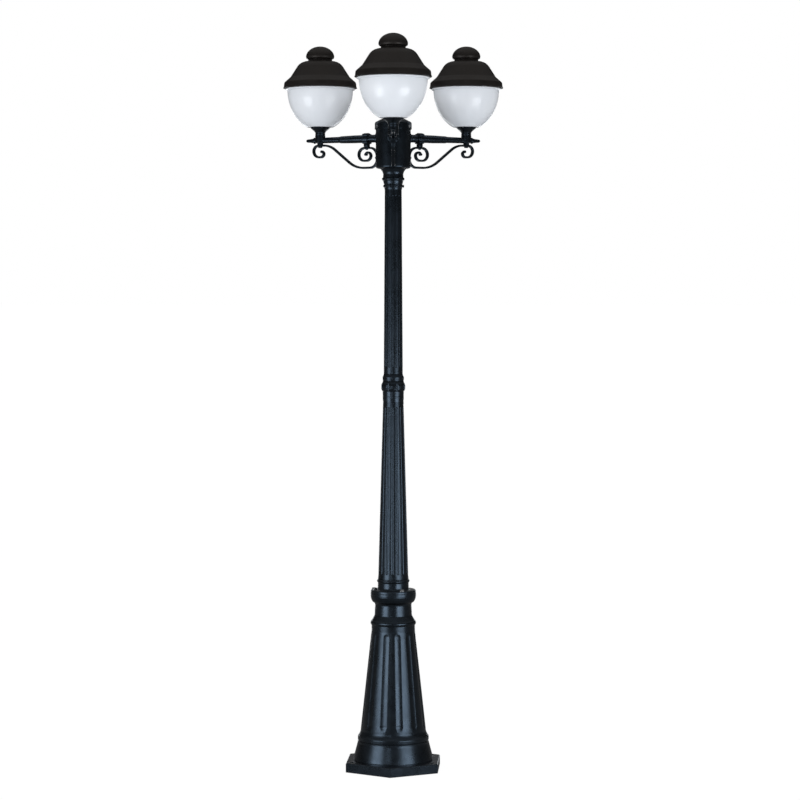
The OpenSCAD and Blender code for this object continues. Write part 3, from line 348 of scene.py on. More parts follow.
def finishMesh(build, name, sharp=32):
    mesh = bpy.data.meshes.new(name)
    bmesh.ops.recalc_face_normals(build, faces=build.faces)
    build.to_mesh(mesh)
    build.free()
    return resharpened(mesh, sharp)


# turns a profile round Z: outer rows run up, inner rows come back down; a row on the axis is a pole
def lathe(name, outer, inner=(), sides=96, anglesAt=None):
    build = bmesh.new()
    rings = []
    for row in (Vector(row) for row in (*outer, *inner)):
        if row.x < 1e-5:
            rings.append([build.verts.new((0, 0, row.y * mm))])
            continue
        turns = anglesAt(row.y) if anglesAt else [2 * pi * k / sides for k in range(sides)]
        rings.append([build.verts.new((row.x * mm * cos(a), row.x * mm * sin(a), row.y * mm)) for a in turns])
    pairs = list(zip(rings, rings[1:]))
    if len(rings[0]) > 1 and len(rings[-1]) > 1:
        pairs.append((rings[-1], rings[0]))
    for low, high in pairs:
        count = max(len(low), len(high))
        for k in range(count if count > 1 else 0):
            n = (k + 1) % count
            corners = (low[k % len(low)], low[n % len(low)], high[n % len(high)], high[k % len(high)])
            build.faces.new(list(dict.fromkeys(corners)))  # three corners at a pole
    mesh = finishMesh(build, name)
    outside = mesh.attributes.new("outside", "BOOLEAN", "POINT")
    reach = sum(len(ring) for ring in rings[:len(outer)])
    outside.data.foreach_set("value", [i < reach for i in range(len(mesh.vertices))])
    return mesh


def box(name, low, high, edge=0.6, segments=2):
    build = bmesh.new()
    bmesh.ops.create_cube(build, size=1)
    for v in build.verts:
        v.co = Vector([(low[i] + (high[i] - low[i]) * (v.co[i] + 0.5)) * mm for i in range(3)])
    if edge:
        bmesh.ops.bevel(build, geom=build.edges[:], offset=edge * mm, segments=segments, affect="EDGES", profile=0.5)
    return finishMesh(build, name, 60)


def moved(mesh, matrix):
    mesh.transform(matrix)
    return mesh


def joined(name, *meshes):
    build = bmesh.new()
    for mesh in meshes:
        build.from_mesh(mesh)
    out = bpy.data.meshes.new(name)
    build.to_mesh(out)
    build.free()
    return out


def cutWith(mesh, cutters, operation="DIFFERENCE"):  # exact booleans, then a plain mesh
    body = newObject("cutting", mesh)
    tools = [newObject("cutter", cutter) for cutter in cutters]
    for tool in tools:
        cut = body.modifiers.new("cut", "BOOLEAN")
        cut.operation, cut.solver, cut.object = operation, "EXACT", tool
    out = baked(body)
    for tool in tools:
        bpy.data.objects.remove(tool)
    return out


def addPiece(name, mesh, node, slotName="black_paint", body="post", look=None):
    mesh.materials.clear()
    mesh.materials.append(materials[look or slotLook[slotName]])
    piece = newObject(name, mesh)
    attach(piece, body)
    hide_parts(node)


# a CAD node with its edges eased: a merged copy, bevelled where faces meet sharply
def eased(node, width):
    build = bmesh.new()
    build.from_mesh(frame["nodes"][node].data)
    bmesh.ops.remove_doubles(build, verts=build.verts, dist=2e-6)
    bmesh.ops.dissolve_limit(build, angle_limit=radians(0.8), verts=build.verts, edges=build.edges)
    body = newObject("easing", finishMesh(build, node + "Eased"))
    bevel = body.modifiers.new("bevel", "BEVEL")
    bevel.width, bevel.segments = width * mm, 2
    bevel.limit_method, bevel.angle_limit = "ANGLE", radians(28)
    body.modifiers.new("weighted", "WEIGHTED_NORMAL")
    return baked(body)


def runTree(mesh, tree, name, **values):
    holder = newObject(name + "Holder", mesh)
    modifier = holder.modifiers.new(tree.name, "NODES")
    modifier.node_group = tree
    for item in tree.interface.items_tree:
        key = item.name[0].lower() + item.name[1:].replace(" ", "")
        if item.in_out == "INPUT" and key in values:
            modifier[item.identifier] = values[key]
    out = baked(holder)
    out.name = name
    return out


def endTree(tree, start, end, geometry):
    real = addNode(tree, "GeometryNodeRealizeInstances", Geometry=geometry)
    paint = addNode(tree, "GeometryNodeSetMaterial", Geometry=real.outputs[0], Material=start.outputs["Material"])
    feed(tree, end.inputs[0], paint.outputs[0])
    return tree


def namedValue(tree, kind, name):
    return addNode(tree, "GeometryNodeInputNamedAttribute", {"data_type": kind}, Name=name).outputs["Attribute"]


# sinks round-bottomed flutes into the outside of a turned piece
def fluteTree():
    tree, start, end = newTree("GeometryNodeTree", "Flutes", {
        "Geometry": None, "Count": 16.0, "First": 0.5, "Low": 0.0, "High": 1.0, "Reach Low": 0.1,
        "Reach High": 0.1, "Cutter Low": 0.01, "Cutter High": 0.01, "End Flatness": 1.0,
        "Bare Half Angle": 0.0, "Material": None}, ("Geometry",))
    times, plus, minus, ratio, most, above = (partial(calc, tree, word) for word in (
        "MULTIPLY", "ADD", "SUBTRACT", "DIVIDE", "MAXIMUM", "GREATER_THAN"))
    sockets = start.outputs
    x, y, z = axesOf(tree, tree.nodes.new("GeometryNodeInputPosition").outputs[0])
    radius = calc(tree, "SQRT", plus(times(x, x), times(y, y)))
    pitch = ratio(2 * pi, sockets["Count"])
    turn = plus(calc(tree, "ARCTAN2", y, x), pi / 2)
    index = calc(tree, "FLOOR", minus(ratio(turn, pitch), minus(sockets["First"], 0.5)))
    centre = times(plus(index, sockets["First"]), pitch)
    off = minus(turn, centre)
    low, high = sockets["Low"], sockets["High"]
    share = spread(tree, z, low, high)
    reach = spread(tree, share, 0, 1, sockets["Reach Low"], sockets["Reach High"])
    cutter = spread(tree, share, 0, 1, sockets["Cutter Low"], sockets["Cutter High"])
    beyond = times(most(most(minus(low, z), minus(z, high)), 0.0), sockets["End Flatness"])
    side = times(reach, calc(tree, "SINE", off))
    room = minus(minus(times(cutter, cutter), times(beyond, beyond)), times(side, side))
    sunk = minus(times(reach, calc(tree, "COSINE", off)), calc(tree, "SQRT", most(room, 0.0)))
    # the back of the piece is at half a turn from the front
    bare = above(calc(tree, "ABSOLUTE", minus(centre, pi)), sockets["Bare Half Angle"])
    hit = times(times(above(room, 0.0), bare), namedValue(tree, "BOOLEAN", "outside"))
    hit = times(hit, calc(tree, "LESS_THAN", sunk, radius))
    scale = spread(tree, hit, 0, 1, 1.0, ratio(sunk, radius))
    whole = addNode(tree, "ShaderNodeCombineXYZ", X=times(x, scale), Y=times(y, scale), Z=z)
    put = addNode(tree, "GeometryNodeSetPosition", Geometry=sockets["Geometry"], Position=whole.outputs[0])
    return endTree(tree, start, end, put.outputs[0])


# sweeps a round-edged strap along a line of edges
def strapTree():
    tree, start, end = newTree("GeometryNodeTree", "Strap", {
        "Geometry": None, "Width": 0.012, "Thickness": 0.007, "Edge Radius": 0.0015, "Step": 0.002,
        "Material": None}, ("Geometry",))
    sockets = start.outputs
    path = addNode(tree, "GeometryNodeMeshToCurve", Mesh=sockets["Geometry"])
    even = addNode(tree, "GeometryNodeResampleCurve", {"mode": "LENGTH"}, Curve=path.outputs[0],
                   Length=sockets["Step"])
    line = addNode(tree, "GeometryNodeSetCurveNormal", {"mode": "FREE"}, Curve=even.outputs[0], Normal=(0, 1, 0))
    section = addNode(tree, "GeometryNodeCurvePrimitiveQuadrilateral", Width=sockets["Width"],
                      Height=sockets["Thickness"])
    soft = addNode(tree, "GeometryNodeFilletCurve", {"mode": "POLY"}, Curve=section.outputs[0], Count=4,
                   Radius=sockets["Edge Radius"])
    sweep = addNode(tree, "GeometryNodeCurveToMesh", Curve=line.outputs[0], Profile_Curve=soft.outputs[0],
                    Fill_Caps=True)
    return endTree(tree, start, end, sweep.outputs[0])


# sets one head on each point, along the point's aim
def fastenerTree():
    tree, start, end = newTree("GeometryNodeTree", "Fasteners", {
        "Geometry": None, "Head": None, "Size": 1.0, "Material": None}, ("Geometry",))
    head = addNode(tree, "GeometryNodeObjectInfo", Object=start.outputs["Head"])
    turn = addNode(tree, "FunctionNodeAlignRotationToVector", {"axis": "Z"},
                   Vector=namedValue(tree, "FLOAT_VECTOR", "aim"))
    put = addNode(tree, "GeometryNodeInstanceOnPoints", Points=start.outputs["Geometry"],
                  Instance=head.outputs["Geometry"], Rotation=turn.outputs[0], Scale=start.outputs["Size"])
    return endTree(tree, start, end, put.outputs[0])


trees = {"flutes": fluteTree(), "strap": strapTree(), "fasteners": fastenerTree()}
print("trees ready")


# flutes are given by their width and depth; the round cutter that leaves them follows
def cutterOf(width, depth):
    return (width * width / 4 + depth * depth) / (2 * depth)


def fluteHalf(spec, z):
    share = min(max((z - spec["low"]) / (spec["high"] - spec["low"]), 0), 1)
    radius, cutter, reach = (spec[key][0] + (spec[key][1] - spec[key][0]) * share
                             for key in ("radii", "cutters", "reaches"))
    return acos((reach * reach + radius * radius - cutter * cutter) / (2 * reach * radius))


def fluteSpec(look):
    spec = dict(look)
    if "widths" in look:
        spec["cutters"] = [cutterOf(w, look["depth"]) for w in look["widths"]]
        spec["reaches"] = [r + c - look["depth"] for r, c in zip(look["radii"], spec["cutters"])]
    return spec


def flutedAngles(spec):
    pitch = 2 * pi / spec["count"]
    inside, between = spec["columns"]

    def at(z):
        half = fluteHalf(spec, z)
        turns = []
        for i in range(spec["count"]):
            centre = -pi / 2 + pitch * (i + spec["first"])
            turns += [centre + half * (2 * k / inside - 1) for k in range(inside + 1)]
            turns += [centre + half + (pitch - 2 * half) * k / between for k in range(1, between)]
        return turns
    return at


def fluteHeights(spec):
    if "rows" in spec:
        return range(*spec["rows"])
    heights, step = [], spec["step"]
    for edge, way, cutter in ((spec["low"], -1, spec["cutters"][0]), (spec["high"], 1, spec["cutters"][1])):
        run = sqrt(cutter ** 2 - (cutter - spec["depth"]) ** 2) + 1
        heights += [edge + way * k * step for k in range(-2, int(run / step) + 2)]
    return heights


# a turned shell with its flutes sunk; columns are the lines of points in and between flutes
def flutedCasting(name, look, level):
    spec = fluteSpec(look["flutes"])
    outer = withHeights(rounded(look["outer"]), fluteHeights(spec))
    shell = lathe(name, outer, rounded(look["inner"]), anglesAt=flutedAngles(spec))
    sizes = {"low": spec["low"] * mm, "high": spec["high"] * mm}
    for word, key in (("reach", "reaches"), ("cutter", "cutters")):
        sizes[word + "Low"], sizes[word + "High"] = (value * mm for value in spec[key])
    shell = runTree(shell, trees["flutes"], name, count=float(spec["count"]), first=spec["first"], **sizes,
                    endFlatness=spec.get("endFlatness", 1.0), bareHalfAngle=radians(spec.get("bareHalf", 0)),
                    material=materials["glossBlack"])
    return moved(shell, baseTurn @ place(z=levels[level]))


# bell base: one turned shell with flutes, a doorway at the back, hinge barrels and bolt lugs
bell = {
    "outer": [(132, 0), (132, 5, 5), (129.8, 14, 30), (118.4, 57, 20), (117.8, 62.5, 0.8), (115, 65.5, 0.5),
              (117.7, 68, 0.8), (117.7, 76, 2.5)]
    + arcRows((144.5, 104.5), 37, 223, 190, 9) + [(107.5, 105, 12), (72, 429.5, 12), (72, 448.3, 0.5)]
    + arcRows((65.5, 456), 10, -48, 55, 12)
    + [(66, 473.5, 6), (62.2, 480, 10), (60.3, 514.5, 16), (61, 520, 4), (69.3, 526.5, 5), (73.3, 534.5, 8),
       (75.2, 542.5, 8), (75.5, 548.5), (75.5, 554.5, 0.8), (74.5, 555.5)],
    "inner": [(54, 555.5), (54, 475.5, 3), (65, 433.5, 3), (66, 429.5, 3), (101.5, 105, 3), (104.5, 85, 3),
              (112, 56, 6), (122, 25, 8), (126, 0)],
    "flutes": {"count": 12, "first": 0.5, "low": 127, "high": 415.5, "radii": [105.093, 73.532],
               "widths": [25, 23.5], "depth": 1.8, "bareHalf": 30, "step": 0.8, "columns": (16, 10)},
    "door": {"width": 86, "height": 150, "level": 270.5, "gap": 1.5, "lean": 7.343, "reach": (46.4, 139)},
    "hinge": {"x": -49, "y": 81.277, "turn": 31.9, "radius": 5, "bore": 2.05, "barrel": 18, "middle": 40,
              "offset": 29.4, "relief": 1.5, "reliefHalf": 20.4},
    "lug": {"radius": 12.4, "height": 18, "reach": 115.4, "bore": 4.1, "count": 6, "lift": 0.3},
}


def hingeFrame():
    spot, doorway = bell["hinge"], bell["door"]
    return (baseTurn @ place(spot["x"], spot["y"], doorway["level"]) @ turned(doorway["lean"], "X")
            @ turned(spot["turn"], "Z"))


def doorBox(gap, edge=0.0):
    look = bell["door"]
    wide, tall = look["width"] / 2 + gap, look["height"] / 2 + gap
    shape = box("doorBox", (-wide, look["reach"][0], -tall), (wide, look["reach"][1], tall), edge)
    return moved(shape, baseTurn @ place(z=look["level"]) @ turned(look["lean"], "X"))


def barrel(name, low, high, radius, edge=0.0, bore=0.0):
    outer = rounded([(bore, low), (radius, low, edge), (radius, high, edge), (bore, high)], step=30)
    return lathe(name, outer, sides=40)


def makeBell():
    hinge, lug = bell["hinge"], bell["lug"]
    relief = barrel("relief", -hinge["reliefHalf"], hinge["reliefHalf"], hinge["radius"] + hinge["relief"])
    parts = [cutWith(flutedCasting("bellShell", bell, "bell"),
                     [doorBox(bell["door"]["gap"]), moved(relief, hingeFrame())])]
    for middle in (-hinge["offset"], hinge["offset"]):
        ends = middle - hinge["barrel"] / 2, middle + hinge["barrel"] / 2
        parts.append(moved(barrel("hingeBarrel", *ends, hinge["radius"], 0.5, hinge["bore"]), hingeFrame()))
    for k in range(lug["count"]):
        a = radians(360 * k / lug["count"])
        spot = place(lug["reach"] * cos(a), lug["reach"] * sin(a), levels["bell"] + lug["lift"])
        parts.append(moved(barrel("lug", 0, lug["height"], lug["radius"], 0.5, lug["bore"]), baseTurn @ spot))
    addPiece("bellCasting", resharpened(joined("bellCasting", *parts)), "base_bell")


# service door: the same shell inside the doorway, with its hinge leaf, its barrel and a hole for the lock
door = {"edge": 0.7, "leaf": {"start": 3, "from": -1, "thick": 3, "reach": 18}, "pad": (8, -6),
        "lockHole": (-14, 14, 8.05)}

# lock: a barrel with a triangular key socket in front and a turning tongue behind
lock = {"body": [(0, -10.68), (10, -10.68, 0.5), (10, -7.2, 0.5), (8, -7.2), (8, 0.5), (10, 0.5, 0.4), (10, 3.5, 1.2),
                 (0, 3.5)],
        "tongue": ((-5, -25.26, -13.18), (5, 8, -10.68)), "socket": (5, 9), "azimuth": -18.22, "reach": 92.73,
        "lean": 6.243}


def lockFrame():
    return (baseTurn @ turned(lock["azimuth"], "Z") @ place(0, lock["reach"], bell["door"]["level"])
            @ turned(lock["lean"] - 90, "X") @ turned(180, "Z"))


def makeDoor():
    panel = cutWith(flutedCasting("doorPanel", bell, "bell"), [doorBox(0, door["edge"])], "INTERSECT")
    panel = cutWith(panel, [moved(barrel("lockHole", *door["lockHole"]), lockFrame())])
    leaf, pad, half = door["leaf"], door["pad"], bell["hinge"]["middle"] / 2
    plate = box("leaf", (leaf["start"], leaf["from"], -half), (leaf["reach"], leaf["from"] + leaf["thick"], half))
    block = box("leafPad", (*pad, -half), (leaf["reach"], 0, half))
    knuckle = barrel("doorBarrel", -half, half, bell["hinge"]["radius"], 0.5, bell["hinge"]["bore"])
    parts = [panel] + [moved(part, hingeFrame()) for part in (plate, block, knuckle)]
    addPiece("serviceDoorPanel", resharpened(joined("serviceDoorPanel", *parts)), "service_door", body="door")


def makeLock():
    radius, reach = lock["socket"]
    key = lathe("key", [(0, 0), (radius, 0), (radius, reach), (0, reach)], sides=3)
    parts = [cutWith(lathe("lockBody", rounded(lock["body"]), sides=48), [key]), box("tongue", *lock["tongue"], 0.5)]
    whole = resharpened(moved(joined("doorLock", *parts), lockFrame()))
    addPiece("doorLock", whole, "door_lock", "plated_steel", "lock")


makeBell()
makeDoor()
makeLock()
print("bell and door ready")

# lower column: foot flange, ring and tapered fluted shaft
lowerColumn = {
    "outer": [(53.9, -40), (53.9, 0), (74.8, 0, 0.6), (74.8, 7, 2), (72, 10, 2), (54.6, 10, 3.5), (51.6, 15, 4),
              (51.1, 32, 0.8)] + arcRows((49.1, 39), 5, -60, 60, 12)
    + [(50.8, 47, 1.5), (49.6, 59, 6), (33.9, 632, 4), (34.9, 642, 4), (34.9, 650, 0.5), (27, 650)],
    "inner": [(27, 616), (28.9, 608), (44.6, 59), (48.9, -40)],
    "flutes": {"count": 16, "first": 0.0, "low": 66, "high": 612, "radii": [49.408, 34.448], "widths": [8.6, 6.88],
               "depth": 1.6, "step": 0.5, "columns": (12, 8)},
}
upperColumn = {
    "outer": [(26.9, -34), (26.9, 0), (31.5, 0, 0.5), (28, 606), (23.9, 606), (23.9, 666, 0.5), (20.4, 666)],
    "inner": [(20.4, 606), (23, 576), (23.4, 30), (23.4, -34)],
    "flutes": {"count": 16, "first": 0.0, "low": 24, "high": 584, "radii": [31.361, 28.127], "widths": [6, 5.4],
               "depth": 1.28, "step": 0.5, "columns": (12, 8)},
}
knuckle = {
    "outer": [(26.9, -30), (26.9, 0), (34.7, 0, 0.5), (35.2, 14, 0.8), (35.3, 16, 1), (38.6, 21, 6), (39.8, 26, 8),
              (39.8, 36, 8), (38.6, 41, 6), (35.3, 47, 4), (34.4, 52, 3), (35.4, 57, 2.5), (35.4, 64, 2.5),
              (32.3, 70, 3), (31.8, 74, 0.5), (27, 74)],
    "inner": [(27, 40), (20, 40), (20, -30)],
    "flutes": {"count": 8, "first": 0.5, "low": 12, "high": 50, "radii": [39.8, 39.8], "cutters": [6, 6],
               "reaches": [43, 43], "endFlatness": 50.0, "rows": (12, 51), "columns": (12, 8)},  # these leave its lobes
}
neck = {
    "outer": [(24, 0), (28.5, 0, 0.5), (29.3, 5, 0.5)] + arcRows((28.4, 12), 5, -70, 70, 12)
    + [(31.6, 21, 2), (33, 28, 1)] + arcRows((31.9, 35), 5.5, -70, 70, 12)
    + [(33.6, 44, 1), (33.2, 51, 8), (35.2, 58, 10), (42, 68)],
    "inner": [(24, 68)],
}


def makeColumns():
    for name, look, level, node in (("lowerColumnCasting", lowerColumn, "lower", "lower_column"),
                                    ("upperColumnCasting", upperColumn, "upper", "upper_column"),
                                    ("knuckleCasting", knuckle, "knuckle", "mid_knuckle")):
        addPiece(name, resharpened(flutedCasting(name, look, level)), node)
    collar = lathe("neckCollarCasting", rounded(neck["outer"]), neck["inner"])
    addPiece("neckCollarCasting", moved(collar, baseTurn @ place(z=levels["neck"])), "neck_collar")


makeColumns()
print("columns ready")

# hub: drum with its floor, and the domed cap over it
hub = {
    "drum": [(16, 0), (42, 0, 1)] + arcRows((48.5, 9), 9, -45, 0, 8)[1:] + [(57.5, 146, 0.5), (50.5, 146)],
    "drumInner": [(50.5, 8), (16, 8)],
    "cap": [(57.9, -16), (60.8, -16, 0.7), (60.8, 2)] + arcRows((52.8, 2), 8, 15, 60, 7)
    + [(37.7, 18.36, 60), (18.24, 25.65, 50), (0, 27)],
    "capInner": [(0, 24), (36.5, 15.36), (50.5, 3), (50.5, 0), (57.6, 0), (57.6, -16)],
    "height": 146, "spigotHole": (20, 70, 9.1),
}


def makeHub():
    rise = place(z=levels["arm"] - levels["hub"])
    holes = [moved(barrel("spigotHole", *hub["spigotHole"]), turned(azimuth, "Z") @ rise @ turned(90, "Y"))
             for azimuth in arms.values()]
    drum = cutWith(lathe("hubDrum", rounded(hub["drum"]), hub["drumInner"], sides=128), holes)
    addPiece("hubDrum", resharpened(moved(drum, place(z=levels["hub"]))), "hub_body")
    cap = lathe("hubCapCasting", rounded(hub["cap"]), hub["capInner"], sides=128)
    addPiece("hubCapCasting", moved(cap, place(z=levels["hub"] + hub["height"])), "hub_cap")


# arms: a turned shaft with a flared root, an eye for the lamp's stem, and a pointed tip
arm = {
    "shaft": [(5, 40.5), (9, 40.5, 0.5), (9, 52), (20, 52), (20, 60.5, 1)]
    + arcRows((19, 67.5), 6.5, 250, 180, 8) + [(13, 70.5, 3), (13, 151, 20), (11.8, 200, 4), (10.3, 206, 4),
                                              (9.7, 265, 2), (9.7, 270), (5, 270)],
    "tip": [(0, 293), (8.5, 293), (8.5, 300)] + arcRows((7.5, 303.5), 3, -60, 60, 8)
    + [(8, 307, 2), (6, 321, 20), (5.4, 331.5, 8), (3, 335.5, 2.5), (0, 336.5)],
    "eye": [(7.1, -13.5), (10, -13.5, 0.8), (10, -7.5, 1), (17, -7.5, 1.4), (17, 17.5, 1.2), (7.1, 17.5)],
    "collar": {"at": 101, "ring": [(13.1, -11.5), (16, -11.5, 0.8), (16, -8.5, 1), (19, -8.5, 1.2), (19, 8.5, 1.2),
                                   (16, 8.5, 1), (16, 11.5, 0.8), (13.1, 11.5)],
               "lobe": 5, "lobeReach": 16.5, "lobeLength": 19, "lug": 8, "lugTop": -14, "lugFoot": -26.5},
}


def makeArm(name):
    along = turned(90, "Y")
    shaft = moved(lathe("shaft", rounded(arm["shaft"]), sides=64), along)
    tip = moved(lathe("tip", rounded(arm["tip"]), sides=48), along)
    eye = moved(lathe("eye", rounded(arm["eye"]), sides=80), place(x=armReach))
    addPiece("armCasting_" + name, moved(joined("armCasting", shaft, tip, eye), atArm(name)), "arm_" + name)
    look = arm["collar"]
    parts = [moved(lathe("ring", rounded(look["ring"]), sides=80), along)]
    for k in range(4):
        lobe = barrel("lobe", -look["lobeLength"] / 2, look["lobeLength"] / 2, look["lobe"], 1.2)
        a = radians(45 + 90 * k)
        parts.append(moved(lobe, along @ place(look["lobeReach"] * cos(a), look["lobeReach"] * sin(a))))
    wide = look["lug"]
    parts.append(box("lug", (-wide, -wide, look["lugFoot"]), (wide, wide, look["lugTop"]), 1.4, 3))
    collar = moved(joined("armCollar", *parts), atArm(name) @ place(x=look["at"]))
    addPiece("armCollarCasting_" + name, collar, "arm_collar_" + name)


# scrolls: a strap along quarter turns and straights, moves of (length,) or (radius, turn); + turns left
scroll = {
    "width": 12, "thickness": 7, "edge": 1.4, "seat": (armReach, -17), "seatRun": 14, "slope": 38,
    "slopeRun": 72.285,
    "bends": (69.95, 89.93), "small": [(7,), (18, -90), (20.5, -90), (8,), (11, -90), (7, -90)],
    "large": [(25.5,), (26, -90), (11.4,), (28, -90), (19.9,), (22, -90), (20, -90), (10,), (16, -90), (11, -90),
              (8, -80)],
    "knobs": (4.48, 4.2), "knobProud": (0.4, 0.3),
}


def walked(moves, start, angle):
    at, points = Vector(start), [Vector(start)]
    for move in moves:
        if len(move) == 1:
            at = at + Vector((cos(angle), sin(angle))) * move[0]
            points.append(at.copy())
            continue
        radius, turn = move[0], radians(move[1])
        side = 1 if turn > 0 else -1
        centre = at + Vector((-sin(angle), cos(angle))) * radius * side
        first = angle - side * pi / 2
        steps = max(6, ceil(abs(move[1]) / 4))
        points += [centre + Vector((cos(first + turn * k / steps), sin(first + turn * k / steps))) * radius
                   for k in range(1, steps + 1)]
        at, angle = points[-1].copy(), angle + turn
    return points


def scrollLine():
    bends, slope = scroll["bends"], scroll["slope"]
    large = [(scroll["seatRun"],), (bends[0], slope), (scroll["slopeRun"],), (bends[1], -slope)] + scroll["large"]
    return walked(scroll["small"], scroll["seat"], 0)[::-1] + walked(large, scroll["seat"], pi)[1:]


def makeScroll(name):
    points = scrollLine()
    line = bpy.data.meshes.new("scrollLine")
    line.from_pydata([(p.x * mm, 0, p.y * mm) for p in points], [(k, k + 1) for k in range(len(points) - 1)], [])
    sizes = {"width": scroll["width"] * mm, "thickness": scroll["thickness"] * mm, "edgeRadius": scroll["edge"] * mm}
    parts = [runTree(line, trees["strap"], "scrollStrap", **sizes, step=2 * mm, material=materials["glossBlack"])]
    beside, proud = scroll["knobProud"]
    half = scroll["width"] / 2 + beside
    for spot, radius in zip((points[0], points[-1]), scroll["knobs"]):
        knob = barrel("knob", -half, half, radius + proud, scroll["edge"])
        parts.append(moved(knob, place(spot.x, 0, spot.y) @ turned(90, "X")))
    whole = resharpened(joined("scroll", *parts), 40)
    addPiece("scrollStrap_" + name, moved(whole, atArm(name)), "scroll_" + name)


makeHub()
for side in arms:
    makeArm(side)
    makeScroll(side)
print("hub, arms and scrolls ready")

# lamps, in heights above the arm's axis
lamp = {
    "gallery": [(4.5, -13.5), (7, -13.5, 0.5), (7, 17.5), (16.3, 17.5, 0.5), (16.8, 21, 1.5), (16, 24.5, 4),
                (19.8, 30.5, 6), (23.4, 33.5, 4), (27, 36.5, 8), (33, 42.5, 3), (34.5, 43.5, 0.4), (34.5, 44.5, 0.3),
                (25, 44.5)],
    "galleryInner": [(25, 36.5), (15.8, 36.5), (15.8, 27), (4.5, 27)],
    "holder": [(4.5, 27), (15.7, 27), (15.7, 38.5, 1), (19.5, 42.5, 2), (19.5, 70, 1.5), (17.5, 72, 1), (13.4, 72)],
    "holderInner": [(13.4, 46), (4.5, 46)],
    "bulb": [(0, 46), (6, 46, 1), (13, 50, 2), (13, 74, 3), (16.5, 80, 12)] + arcRows((0, 109), 30, -52, 88, 26)
    + [(0, 139)],
    "globe": {"neck": 24.7, "neckLow": 38, "rim": 44.5, "flangeTop": 172, "flange": 116.5, "flangeThick": 3,
              "radius": 109.5, "rise": 137.48, "start": 66.42, "wall": 3, "rows": 40,
              "floor": 4, "floorRadius": 45},
    "canopy": [(123.5, 174.3, 0.4), (121.2, 180.3, 3), (120, 192.5, 8), (99, 211, 10), (65.5, 263.3, 38),
               (5.5, 263.3)],
    "canopyThick": 2,
    "ledge": [(118.5, 176.8), (108.5, 175.8), (108.5, 174.3)],
    "cap": {"crown": 263.3, "neck": 39.9, "radius": 47.4, "dome": 277.3, "top": 313.3, "thick": 3},
}


def canopyRows():
    outer, inner = rounded(lamp["canopy"], 1.5), []
    thick, ledge, (hole, crown) = lamp["canopyThick"], lamp["ledge"], lamp["canopy"][-1]
    for before, row, after in zip(outer, outer[1:], outer[2:]):
        along = (after - before).normalized()
        inner.append(row + Vector((-along.y, along.x)) * thick)
    inner = [p for p in inner[::-1] if p.x > hole + 0.1 and p.y > ledge[0][1] + 0.7]
    return outer, [Vector((hole, crown - thick))] + inner + ledge


def globeRows():
    look = lamp["globe"]
    neck, rim, wall, flange, top = (look[key] for key in ("neck", "rim", "wall", "flange", "flangeTop"))
    under = top - look["flangeThick"]
    turns = [radians(-look["start"] * (1 - k / look["rows"])) for k in range(look["rows"] + 1)]
    middle = top - look["flangeThick"] / 2
    bowl = [(look["radius"] * cos(a), middle + look["rise"] * sin(a)) for a in turns]
    bowl = [p for p in bowl if p[1] < under]
    outer = rounded([(neck - wall, look["neckLow"]), (neck, look["neckLow"], 0.8), (neck, rim, 1.5),
                     (bowl[0][0], rim, 9)] + bowl[1:] + [(flange, under, 1.2), (flange, top, 0.8)])
    inner = [((look["radius"] - wall) * cos(a), top + (look["rise"] - wall) * sin(a)) for a in turns[::-1]]
    inner = [p for p in inner if p[0] > look["floorRadius"]]
    return outer, inner + [(neck - wall, rim + look["floor"])]


def finialRows():
    look = lamp["cap"]
    crown, dome, top, wide, thick = look["crown"], look["dome"], look["top"], look["radius"], look["thick"]
    neckWall = look["neck"] - thick
    under = [((wide - thick) * cos(radians(a)), dome + (top - thick - dome) * sin(radians(a)))
             for a in range(72, -1, -8)]
    outer = [(4.4, crown), (9, crown), (9, top - thick - 2)] + under
    outer += [(wide - thick - 2, crown + 11), (neckWall, crown + 10), (neckWall, crown),
              (look["neck"], crown, 0.6), (look["neck"], crown + 7, 2), (look["neck"] + 3, crown + 8, 2),
              (wide - 1.2, crown + 10.5, 2)]
    outer += [(wide * cos(radians(a)), dome + (top - dome) * sin(radians(a))) for a in range(4, 89, 4)]
    return rounded(outer + [(0, top)]), [(0, crown + 27), (4.4, crown + 27)]


def makeLamp(name):
    for title, node, outer, inner, sides, slotName, body in (
            ("galleryCasting", "gallery", rounded(lamp["gallery"]), lamp["galleryInner"], 96, "black_paint", "post"),
            ("lampholderShell", "lampholder", rounded(lamp["holder"]), lamp["holderInner"], 64, "porcelain", "post"),
            ("bulbGlass", "bulb", rounded(lamp["bulb"]), (), 64, "bulb_opal", "post"),
            ("globeShell", "globe", *globeRows(), 128, "globe_opal", "post"),
            ("canopyShell", "canopy", *canopyRows(), 144, "canopy_paint", "canopy_" + name),
            ("finialCap", "finial", *finialRows(), 112, "canopy_paint", "canopy_" + name)):
        mesh = moved(lathe(title, outer, inner, sides=sides), atLamp(name))
        addPiece(title + "_" + name, mesh, node + "_" + name, slotName, body)


for side in arms:
    makeLamp(side)
print("lamps ready")


def ring(reach, level, start, aim=None):  # three spots round an axis; they aim outwards if no aim is given
    turns = [radians(start + 120 * k) for k in range(3)]
    return [((reach * cos(a), reach * sin(a), level), aim or (cos(a), sin(a), 0)) for a in turns]


